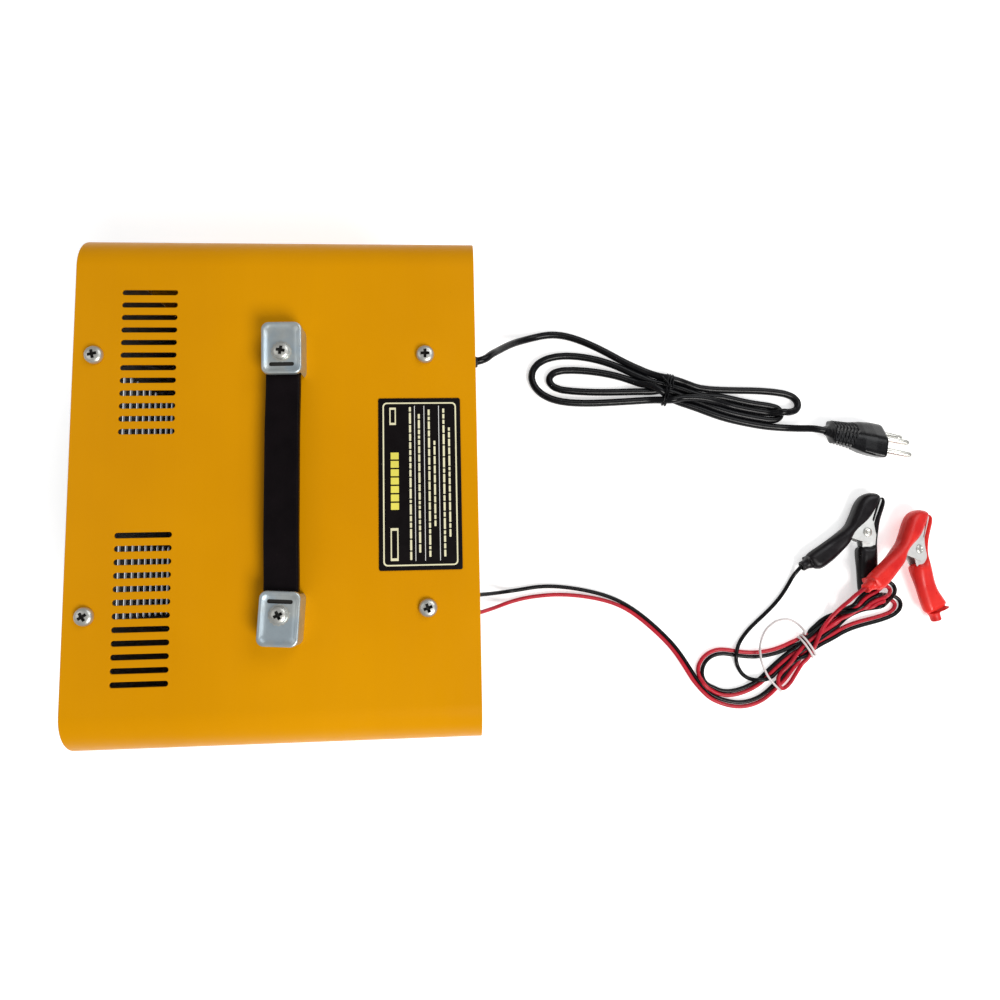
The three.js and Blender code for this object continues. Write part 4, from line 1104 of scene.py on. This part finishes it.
def label_bar(x0, x1, v, height):
    """A printed bar from x0 to x1, at a distance v from the label's rear edge."""
    y = LABEL_Y + LABEL_D / 2 - v
    return round_rect((x0 + x1) / 2, y, abs(x1 - x0), height, 0.12, 2)


def words(x0, x1, v, height):
    """A row of blank blocks of uneven length, in place of a line of print."""
    shortest, longest, space = 1.4, 5.2, 0.62
    bars = []
    x = x0
    while x < x1 - 1.2:
        size = min(float(rng.uniform(shortest, longest)), x1 - x)
        bars.append(label_bar(x, x + size, v, height))
        x += size + space
    return bars


def print_on_label(name, loops, look, low, high, edge):
    """Print, a little thicker than ink, between two heights from the label's face."""
    bm = plate_bm(loops, LABEL_TOP + low, LABEL_TOP + high, edge, flat, steps=0)
    piece("label_print_" + name, bm, look)


def make_label():
    outline = round_rect(LABEL_X, LABEL_Y, LABEL_W, LABEL_D, 0.9)
    back = plate_bm([outline], LABEL_TOP - 0.4, LABEL_TOP, 0.1, flat, steps=2)
    piece("label_back", back, "label", replaces="label_plate")
    cream = [round_rect(LABEL_X, LABEL_Y, LABEL_W - 4, LABEL_D - 3.9, 2.0),
             round_rect(LABEL_X, LABEL_Y, LABEL_W - 5.3, LABEL_D - 5.2, 1.5)]
    lines = ((-37.3, 33.8, 14.6, 0.95), (-34, 31, 18.7, 0.95), (-36, 32.6, 23.3, 0.95),
             (-22, 19.5, 25.8, 0.9), (-36, 33, 30.1, 0.95), (-27, 24, 32.6, 0.9))
    for line in lines:
        cream += words(*line)
    cream += [label_bar(-37.6, -22.6, 7.1, 3.6), label_bar(25.4, 33.6, 6.6, 3.0)]
    print_on_label("cream", cream, "ink", -0.02, 0.045, 0.02)
    rules = [label_bar(-37.8, 34.4, v, 0.3) for v in (16.7, 21.1, 27.9)]
    print_on_label("rules", rules, "mark", -0.02, 0.04, 0.02)
    letters, first, pitch, width = 7, -14.2, 3.9, 3.2
    title = [label_bar(first + pitch * i, first + pitch * i + width, 7.4, 3.7) for i in range(letters)]
    print_on_label("title", title, "ink_yellow", -0.02, 0.045, 0.02)
    spots = [label_bar(-36.4, -23.8, 7.1, 2.4), label_bar(26.4, 32.6, 6.6, 1.9)]
    print_on_label("blanks", spots, "label", 0.03, 0.06, 0.01)


# ---------------------------------------------------------------- controls on the front panel

# The front panel's face, the back of the meter on it and the face of the meter's dial. The needle
# turns about PIVOT_Z and swings this many degrees to each side.
PANEL_Y, METER_BACK, DIAL_Y = -76, -76.3, -78.92
PIVOT_Z, SWING = 81, 42


def bevelled(node, name, look, width, body=ROOT, segments=2):
    """A CAD node's own mesh with its edges rounded over, inside its faces."""
    bm = bmesh.new()
    bm.from_mesh(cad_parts[node].data)
    bmesh.ops.remove_doubles(bm, verts=bm.verts, dist=2e-6)
    bmesh.ops.dissolve_limit(bm, angle_limit=math.radians(1.0), verts=bm.verts, edges=bm.edges)
    obj = piece(name, bm, look, body=body, replaces=node)
    applied(obj, ("BEVEL", dict(width=width * MM, segments=segments, limit_method="ANGLE",
                                angle_limit=math.radians(30), use_clamp_overlap=True)))
    for face in obj.data.polygons:
        face.use_smooth = True
    obj.data.set_sharp_from_angle(angle=math.radians(45))
    modifier = obj.modifiers.new("weighted", "WEIGHTED_NORMAL")
    modifier.keep_sharp = True
    return obj


def text_bm(body, size, x, z, y):
    """A dial's number, standing up in X and Z and facing the front."""
    curve = bpy.data.curves.new("number", "FONT")
    curve.body = body
    curve.size = size * MM
    curve.align_x = "CENTER"
    curve.align_y = "CENTER"
    curve.extrude = 0.02 * MM
    bm = bm_of_curve(curve)
    for vert in bm.verts:
        a, b, h = vert.co
        vert.co = (x * MM + a, y * MM - h, z * MM + b)
    return bm


def dial_arc(r0, r1, a0, a1, steps=24):
    """A thin band on the dial between two radii about the needle's pivot, from angle a0 to a1 from
    upright."""
    points = [(r1, a0 + (a1 - a0) * i / steps) for i in range(steps + 1)]
    points += [(r0, a1 + (a0 - a1) * i / steps) for i in range(steps + 1)]
    loop = [(METER_X + r * math.sin(math.radians(a)), PIVOT_Z + r * math.cos(math.radians(a)))
            for r, a in points]
    return plate_bm([loop], -DIAL_Y, -DIAL_Y + 0.05, 0.01, forward, steps=0)


def make_scale():
    """The dial's arc, ticks and numbers, and the red band at the end of its range."""
    marks = [dial_arc(27.6, 27.9, -SWING, SWING)]
    ticks, number_radius = 20, 33.4
    for i in range(ticks + 1):
        a = -SWING + 2 * SWING / ticks * i
        marks.append(dial_arc(27.9, 31 if i % 5 == 0 else 29.4, a - 0.32, a + 0.32, 1))
    for i, value in enumerate("02468"):
        a = math.radians(-SWING + SWING / 2 * i)
        x, z = METER_X + number_radius * math.sin(a), PIVOT_Z + number_radius * math.cos(a)
        marks.append(text_bm(value, 3.6, max(min(x, 24.5), -24.5), min(z, 114), DIAL_Y - 0.02))
    marks.append(text_bm("A", 6, METER_X, 95, DIAL_Y - 0.02))
    piece("meter_scale", merged(*marks), "plastic")
    piece("meter_scale_band", dial_arc(26.0, 27.0, 14, SWING), "red_plastic")


def make_meter():
    rim_front, rim_back = 83.0, 78.0
    outline = round_rect(METER_X, METER_Z, 64, 56, 3, 8)
    window = round_rect(METER_X, METER_Z, 56, 48, 1.2, 4)
    rim = plate_bm([outline, window], rim_back, rim_front, 0.8, forward, steps=4)
    back = plate_bm([outline], -METER_BACK, rim_back + 0.01, 0.1, forward, steps=1)
    profile = [[0, -26.2], [21, -26.2], [22, -25.2], [22, 0], [0, 0]]
    barrel = front_turned(profile, METER_X, METER_Z, y=METER_BACK, segments=64)
    piece("meter_moulding", merged(rim, back, barrel), "plastic",
          replaces="meter_case")
    card = plate_bm([round_rect(METER_X, METER_Z, 55, 47, 0.8)], 78.3, 78.9, 0.08, forward, steps=1)
    piece("meter_card", card, "card", replaces="meter_dial")
    make_scale()
    glass = plate_bm([round_rect(METER_X, METER_Z, 55.4, 47.4, 1)], 81.9, 82.9, 0.2, forward, steps=2)
    piece("meter_glass", glass, "window", replaces="meter_window")
    bevelled("meter_needle", "meter_needle_blade", "plastic", 0.1, "meter_pointer", 1)


def front_turned(profile, x, z, y=PANEL_Y, **shape):
    """A turned shape on the front panel, whose heights run towards the front."""
    return turned_bm(profile, mm(x, y, z), (0, -1, 0), **shape)


def make_fuse():
    """The fuse holder, and its cap with a knurled rim and a slot."""
    holder = [[0, -30], [6.3, -30], [6.6, -29.6], [6.6, 0.3], [9.2, 0.3], [9.5, 0.6], [9.5, 1.8],
              [9.1, 2.2], [5.4, 2.2], [5.4, -13.9], [0, -13.9]]
    piece("fuse_holder_moulding", front_turned(holder, LEFT_X, LOW_Z), "plastic",
          replaces="fuse_holder")

    def knurl(angle, height):
        return 1 - 0.03 * (math.cos(24 * angle) > 0.2) * (4 < height < 10.8)

    cap = [[0, -13], [4.5, -13], [4.8, -12.6], [4.8, 2.6], [7.6, 2.6], [7.9, 3], [8, 4.1], [7.5, 10.6],
           [7.2, 11.4], [6.5, 12], [0, 12]]
    knob = front_turned(cap, LEFT_X, LOW_Z, segments=96, wobble=knurl)
    obj = piece("fuse_cap_knob", knob, "plastic", body="fuse_carrier",
                replaces="fuse_cap")
    slot = plate_bm([round_rect(LEFT_X, LOW_Z, 9, 1.4, 0.3)], 86.4, 89, 0.01, forward, steps=0)
    subtract(obj, [slot])


def make_controls():
    bevelled("switch_housing", "switch_housing_moulding", "plastic", 0.4, segments=3)
    bevelled("power_rocker", "rocker_paddle", "red_plastic", 0.7, "rocker", 4)
    bevelled("selector_body", "selector_moulding", "plastic", 0.3, segments=3)
    bevelled("selector_slider", "selector_knob", "red_plastic", 0.3, "selector", 3)
    make_fuse()
    lens = [[0, -14], [3.9, -14], [3.9, 0.3], [5.8, 0.3], [6, 0.6], [5.9, 1.5], [5.2, 1.9], [4.2, 2.2],
            [3.9, 3.4], [3.3, 4.7], [2.2, 5.7], [1.1, 6.2], [0, 6.3]]
    piece("charge_lamp_lens", front_turned(lens, LEFT_X, HIGH_Z), "lens",
          replaces="charge_lamp")


def make_outlets():
    """The mains cord's ribbed strain relief and the grommet of the two leads."""
    gland = [[0, -5], [7.4, -5], [8.3, -2], [8.4, -1.5], [6.3, -1.5], [6.3, 0.3], [8.4, 0.3],
             [8.6, 0.6], [8.5, 2.3], [7.9, 2.8], [5.9, 3.6], [5.5, 4.2], [5.5, 6.9], [4.8, 7.4],
             [4.7, 8.9], [5.2, 9.5], [5.2, 11.8], [4.4, 12.4], [4.3, 13.9], [4.6, 14.5], [4.3, 17.2],
             [3.6, 17.8], [3.5, 19.6], [3.2, 20.8], [2.5, 21], [0, 21]]
    relief = piece("mains_strain_relief_boot", front_turned(gland, 88, 34), "rubber",
                   replaces="mains_strain_relief")
    grommet = bevelled("lead_grommet", "lead_grommet_moulding", "rubber", 0.6,
                       segments=3)
    return relief, grommet


# ---------------------------------------------------------------- inside the case


def make_inside():
    # The tray's dark galvanised look is partly painted shade for the inside of the case.
    bevelled("base_tray", "base_tray_pressing", "galvanised", 0.25)
    bevelled("transformer_core", "transformer_laminations", "iron", 0.4)
    bevelled("transformer_coil", "transformer_winding", "copper", 2.2, segments=4)
    bevelled("heat_sink", "heat_sink_fins", "aluminium", 0.35)
    for node in ("bridge_rectifier", "thermal_breaker"):
        bevelled(node, node + "_block", "plastic", 0.3)


# ---------------------------------------------------------------- plug


def plug_matrix():
    """From the plug's own frame in mm, with its pins' face at the origin and its pins along Z, to
    the row frame in metres. It rests on one slanted face."""
    heading, slope = math.radians(PLUG_HEADING), math.radians(41)
    ahead = Vector((-math.sin(heading), -math.cos(heading), 0))
    lateral = Vector((math.cos(heading), -math.sin(heading), 0))
    across_axis = -math.cos(slope) * lateral + math.sin(slope) * Vector((0, 0, 1))
    through = ahead.cross(across_axis)
    turn = Matrix((across_axis, through, ahead)).transposed().to_4x4()
    return Matrix.Translation(mm(*PLUG_AT)) @ turn @ Matrix.Scale(MM, 4)


def plug_section(size, soft):
    """A long hexagon with softened corners, as a closed ring of 2D points."""
    half = [(PLUG_HALF, 0.0), (8.5, 8.25), (-8.5, 8.25)]
    corners = [Vector((a, b)) * size for a, b in half]
    corners += [-corner for corner in corners]
    ring = []
    for i, here in enumerate(corners):
        before, after = corners[i - 1], corners[(i + 1) % 6]
        start = here.lerp(before, soft)
        end = here.lerp(after, soft)
        for t in (0, 0.25, 0.5, 0.75, 1):
            ring.append((1 - t) ** 2 * start + 2 * t * (1 - t) * here + t * t * end)
        for t in (0.2, 0.4, 0.6, 0.8):
            ring.append(end.lerp(after.lerp(here, soft), t))
    return ring


def grip_groove(along, edge):
    """The depth of the finger grooves on the plug, which curve back towards its edges."""
    pitch, depth, sweep = 2.3, 0.85, 5.5
    ripple = along + sweep * edge
    if not (5.5 < ripple < 22.5 and 5.0 < along < 22):
        return 0.0
    return depth * (math.cos(2 * math.pi * ripple / pitch) > 0.1)


def make_plug():
    """The moulded plug with its grooves and its screw's dimple, and its three pins."""
    place = plug_matrix()
    along_size_soft = np.array([
        (0, 0.24, 0.3), (0.4, 0.27, 0.3), (2.2, 0.33, 0.3), (3.2, 0.40, 0.3), (4.2, 0.62, 0.25),
        (4.8, 0.68, 0.2), (16, 0.76, 0.2), (20, 0.84, 0.2), (24, 0.93, 0.2), (31, 1, 0.2),
        (37.6, 1, 0.2), (38.6, 0.975, 0.2), (39, 0.93, 0.2),
    ])
    stations, sizes, softs = along_size_soft.T
    steps = 150
    rings = []
    for i in range(steps + 1):
        along = PLUG_LENGTH * i / steps
        size = float(np.interp(along, stations, sizes))
        ring = []
        for a, b in plug_section(size, float(np.interp(along, stations, softs))):
            edge = min(1.0, abs(a) / (PLUG_HALF * size))
            shrink = 1 - grip_groove(along, edge) / max(math.hypot(a, b), 4)
            ring.append(place @ Vector((a * shrink, b * shrink, along - PLUG_LENGTH)))
        rings.append(ring)
    body = piece("plug_moulding", rings_bm(rings), "plug_black",
                 replaces="plug_body", sharp=38)
    dimple = turned_bm([[0, -2], [1.9, -2], [2.1, 4], [0, 4]], segments=24)
    upright = Matrix.Rotation(math.radians(-90), 4, "X")
    seat = place @ Matrix.Translation((2.0, 7.2, -15.5)) @ upright
    subtract(body, [carried(dimple, seat)])
    pieces = [body]
    pin = [[0, 0], [1.95, 0], [2, 0.1], [2, 16.6], [1.85, 17.6], [1.4, 18.5], [0.8, 18.9], [0, 19]]
    for name, a, b in (("line", 9.5, 0), ("earth", 0, -3), ("neutral", -9.5, 0)):
        bm = carried(turned_bm(pin, segments=32), place @ Matrix.Translation((a, b, 0.3)))
        pieces.append(piece("plug_contact_" + name, bm, "pin",
                            replaces="plug_pin_" + name))
    return pieces


# ---------------------------------------------------------------- battery clips

# Outlines in a clip's own plane, in mm, with the rivet at the origin and the jaws along +X. A
# grip's points are along its own axis, which is then turned to its angle.
FIXED_JAW_OUTER = [(24, -4), (27.3, -3.6), (28.3, -0.5), (26.8, 4.5), (23.5, 8.3), (18.5, 10.6),
                   (8, 11.8), (0.4, 12.9)]
FIXED_GRIP_OUTER = [(19, -7.8), (30, -6.3), (43.5, -4.9), (45, -1)]
FIXED_GRIP_INNER = [(43, 6), (38, 8.4), (26, 6.4), (14, 2.2)]
FIXED_JAW_INNER = [(-6.5, 7.4), (-2.4, 6.4), (9, -1)]
MOVING_GRIP_OUTER = [(44, -3), (44, 5), (42, 7.6), (17, 7.6), (8.5, 7.4)]
TABBED_GRIP_OUTER = [(44, -3), (44, 8), (41.5, 11.8), (38.5, 11.2), (30, 7.8), (17, 7.6), (8.5, 7.4)]
MOVING_JAW_OUTER = [(3, -8.6), (9.9, -7.6), (23, -8.3), (26.6, -6.8), (27.3, -5)]
MOVING_JAW_INNER = [(24, -5), (16, -3.7), (9, -2.2), (3, -4.8), (0, -6.6), (-2.2, -7.8), (-7.2, -7.4)]
MOVING_GRIP_INNER = [(9, -3), (11.2, -6.3), (42, -7)]
GRIP_END = 44.0


def eased(value):
    """A smooth step from 0 to 1."""
    return value * value * (3 - 2 * value)


def spun(points, degrees):
    """Points turned about the origin."""
    c, s = math.cos(math.radians(degrees)), math.sin(math.radians(degrees))
    return [(x * c - y * s, x * s + y * c) for x, y in points]


def rounded_outline(points, rounds=2):
    """Chaikin's corner cutting on a closed outline."""
    for _ in range(rounds):
        cut = []
        for i, (x, y) in enumerate(points):
            nx, ny = points[(i + 1) % len(points)]
            cut += [(0.8 * x + 0.2 * nx, 0.8 * y + 0.2 * ny), (0.2 * x + 0.8 * nx, 0.2 * y + 0.8 * ny)]
        points = cut
    return points


def edge_distance(points, outline):
    """How far each point lies from the outline, in the plane."""
    best = np.full(len(points), 1e9)
    ring = np.array(outline)
    for a, b in zip(ring, np.roll(ring, -1, axis=0)):
        along = b - a
        t = np.clip(((points - a) @ along) / max(along @ along, 1e-9), 0, 1)
        best = np.minimum(best, np.linalg.norm(points - (a + t[:, None] * along), axis=1))
    return best


def rounded_heights(co, outline, axis):
    """Heights for the points of a cover's thick sheet, so that its edges round over and its grip is
    thinner than its jaw. The sleeve beyond the grip's end keeps its shape."""
    soft, least, thinner, sunk = 4.6, 0.6, 1.5, 0.3
    reach = np.hypot(co[:, 0], co[:, 1])
    on_grip = np.clip((reach - 11) / 16, 0, 1) * (co[:, :2] @ np.array(axis[:2]) > 0)
    height = BOOT_HALF - thinner * eased(on_grip)
    height = np.where(co[:, 2] > 0, height - sunk, height)
    depth = np.clip(edge_distance(co[:, :2], outline), 0, soft)
    limit = height - (soft - np.sqrt(soft ** 2 - (soft - depth) ** 2))
    limit = np.where(reach > GRIP_END, BOOT_HALF, np.maximum(limit, least))
    return np.sign(co[:, 2]) * np.minimum(np.abs(co[:, 2]), limit)


def boot(name, node, outline, angle, sleeve_side, look, body, place):
    """A moulded vinyl cover: its outline as a thick sheet whose edges round over, with a sleeve
    round the cable at its grip's end. angle is the grip's."""
    outline = rounded_outline(outline)
    slab = rings_bm([[Vector((x, y, z)) for x, y in outline] for z in (-BOOT_HALF, BOOT_HALF)])
    axis = Vector((*spun([(1, 0)], angle)[0], 0))
    side = Vector((-axis.y, axis.x, 0)) * sleeve_side
    profile = [[0, -9], [4.4, -9], [4.3, 0.2], [3.6, 1.4], [3.3, 3], [3.35, 5.6], [3.0, 6], [2, 6.0],
               [1.9, 5.2], [0, 5.2]]
    sleeve = turned_bm(profile, (axis * GRIP_END + side) * MM, axis, 40)
    slab_and_sleeve = merged(slab, carried(sleeve, Matrix()))
    obj = piece(name, slab_and_sleeve, look, body=body, replaces=node)
    cell = 0.36
    applied(obj, ("REMESH", dict(mode="VOXEL", voxel_size=cell, use_smooth_shade=True)))
    mesh = obj.data
    co = np.empty(len(mesh.vertices) * 3)
    mesh.vertices.foreach_get("co", co)
    co = co.reshape(-1, 3)
    co[:, 2] = rounded_heights(co, outline, axis)
    mesh.vertices.foreach_set("co", co.ravel())
    mesh.update()
    applied(obj, ("SMOOTH", dict(factor=0.5, iterations=8)))
    obj.data.transform(place)
    obj.data.update()
    return obj


def tuck_in(jaw, place):
    """Thins a jaw pressing away from its rivet, where the rounded cover closes over it."""
    full_within, over, thinner = 9.5, 4.0, 0.36
    back = place.inverted()
    for vert in jaw.data.vertices:
        local = back @ vert.co
        away = min(max((math.hypot(local.x, local.y) - full_within) / over, 0), 1)
        local.z *= 1 - thinner * away
        vert.co = place @ local


def spring_path():
    """Three turns of wire round the rivet, with a straight arm at each end, in the clip's frame."""
    radius, half_length, turns, steps, start = 3.1, 2.2, 3, 60, 2.3
    path = [(-7.2, 4.4, -half_length)]
    for i in range(steps + 1):
        angle = start + 2 * math.pi * turns * i / steps
        along = 2 * half_length * i / steps - half_length
        path.append((radius * math.cos(angle), radius * math.sin(angle), along))
    path.append((-6.6, -1.0, half_length))
    return path


def make_clip(colour, look, lever):
    """A clip's two covers, two jaw pressings, rivet and spring."""
    red = colour == "red"
    clip = RED_CLIP if red else BLACK_CLIP
    place = clip_matrix(clip)
    fixed_angle, moving_angle = clip["fixed"], clip["moving"]
    fixed = FIXED_JAW_OUTER + spun(FIXED_GRIP_OUTER + FIXED_GRIP_INNER, fixed_angle) + FIXED_JAW_INNER
    moving = spun(TABBED_GRIP_OUTER if red else MOVING_GRIP_OUTER, moving_angle)
    moving += MOVING_JAW_OUTER + MOVING_JAW_INNER + spun(MOVING_GRIP_INNER, moving_angle)
    pieces = []
    for half, outline, angle, side, body in (("fixed", fixed, fixed_angle, 0.8, ROOT),
                                             ("moving", moving, moving_angle, 0.4, lever)):
        name, node = f"{colour}_{half}_grip_cover", f"{colour}_clip_{half}_boot"
        pieces.append(boot(name, node, outline, angle, side, look, body, place))
    for half, body in (("fixed", ROOT), ("moving", lever)):
        name, node = f"{colour}_{half}_jaw_pressing", f"{colour}_clip_{half}_jaw"
        jaw = bevelled(node, name, "clip_steel", 0.12, body)
        tuck_in(jaw, place)
        pieces.append(jaw)
    rivet = [[0, -5.9], [1.5, -5.9], [2.4, -5.75], [2.9, -5.4], [2.9, -5.3], [1.7, -5.3], [1.7, 5.3],
             [2.9, 5.3], [2.9, 5.4], [2.4, 5.75], [1.8, 5.85], [1.2, 5.5], [0, 5.35]]
    bm = carried(turned_bm(rivet, segments=36), place)
    pieces.append(piece(f"{colour}_clip_rivet_head", bm, "screw",
                        replaces=f"{colour}_clip_rivet"))
    coil = [tuple(place @ Vector(point) / MM) for point in spring_path()]
    pieces.append(tube(f"{colour}_clip_spring_coil", coil, 0.5, "screw",
                       [f"{colour}_clip_spring"], sides=3, straight=True))
    return pieces


# ---------------------------------------------------------------- ties


def loop_round(paths, at, along, gap, turns, drift):
    """A helix of wire that clears every cord in the cross-section at a point. along is the cords'
    direction there, gap the wire's distance from their centres, and drift its whole advance."""
    per_turn, slice_half, reach, lowest = 16, 3.0, 16, 0.6
    axis = Vector((*along, 0)).normalized()
    side = Vector((-axis.y, axis.x, 0))
    sides, heights = [], []
    for path in paths:
        for p in path:
            d = Vector(p) - Vector(at)
            if abs(d.dot(axis)) < slice_half and abs(d.dot(side)) < reach:
                sides.append(d.dot(side))
                heights.append(p[2])
    centre = ((min(sides) + max(sides)) / 2, (min(heights) + max(heights)) / 2)
    half = ((max(sides) - min(sides)) / 2 + gap, (max(heights) - min(heights)) / 2 + gap)
    points = []
    steps = int(per_turn * turns)
    for i in range(steps + 1):
        angle = 2 * math.pi * i / per_turn
        u = centre[0] + half[0] * math.cos(angle)
        z = max(centre[1] + half[1] * math.sin(angle), lowest)
        move = drift * (i / steps - 0.5)
        points.append(tuple(Vector(at) + side * u + axis * move + Vector((0, 0, z - at[2]))))
    return points


def make_ties(mains, black, red):
    """The black wire tie round the mains hank, and the white one that hangs loose in a ring."""
    mains_tie = loop_round([mains], (78, -227, 0), (-0.25, -0.97), MAINS_D / 2 + 0.5, 2.25, 4)
    x, y, z = mains_tie[-1]
    mains_tie += [(x + 4, y + 3, z + 1.0), (x + 9, y + 7, max(z, 3.0))]
    black_tie = tube("mains_twist_tie", mains_tie, 0.6, "cord_black")
    pair_tie = loop_round([black, red], (-95, -313, 0), (0.5, -0.86), LEAD_D / 2 + 0.45, 2.1, 5)
    ring = [(-82, -308.2, 1.6), (-79.5, -299.9, 0.9), (-83.5, -290.2, 0.9), (-92, -283.8, 1.6),
            (-102, -279.8, 7.4), (-112.2, -282.6, 7), (-119.5, -287.5, 5.5), (-125.5, -293, 5.4)]
    white_tie = tube("lead_tie_ring", pair_tie + ring, 0.75, "white")
    return black_tie, white_tie


# ---------------------------------------------------------------- the whole scene


def make_floor():
    """A wide pale floor that glows a little, so that it reads as white."""
    bm = new_bm([(-3, -3, 0), (3, -3, 0), (3, 3, 0), (-3, 3, 0)], [(0, 1, 2, 3)])
    mesh = mesh_of("floor", bm)
    s = Shader("pale_floor")
    s.finish((0.9, 0.9, 0.9), 0.9)
    s.bsdf.inputs["Emission Color"].default_value = (1, 1, 1, 1)
    s.bsdf.inputs["Emission Strength"].default_value = 0.5
    mesh.materials.append(s.material)
    placed("floor", mesh)


def declare_cords(mains, black, red):
    """Makes the three cords, each in place of the CAD nodes in its list."""
    mains_nodes = ("mains_cord_run", "mains_cord_hank", "mains_cord_tail")
    black_nodes = ("black_lead_run", "battery_lead_hank", "black_lead_tail")
    red_nodes = ("red_lead_run", "red_lead_tail")
    mains_obj = cord_curve("mains_cord", mains, MAINS_D, "cord_black", mains_nodes)
    black_obj = cord_curve("black_battery_lead", black, LEAD_D, "cord_black", black_nodes)
    red_obj = cord_curve("red_battery_lead", red, LEAD_D, "red_cord", red_nodes)


def build():
    make_camera()
    make_lights()
    make_materials()
    mains, black, red = make_cords()
    make_floor()
    make_cover()
    make_panels()
    make_feet()
    make_cover_screws()
    make_handle()
    make_label()
    make_meter()
    make_controls()
    relief, grommet = make_outlets()
    make_inside()
    plug = make_plug()
    black_clip = make_clip("black", "black_boot", "black_lever")
    red_clip = make_clip("red", "red_boot", "red_lever")
    mains_tie, lead_tie = make_ties(mains, black, red)
    declare_cords(mains, black, red)


build()
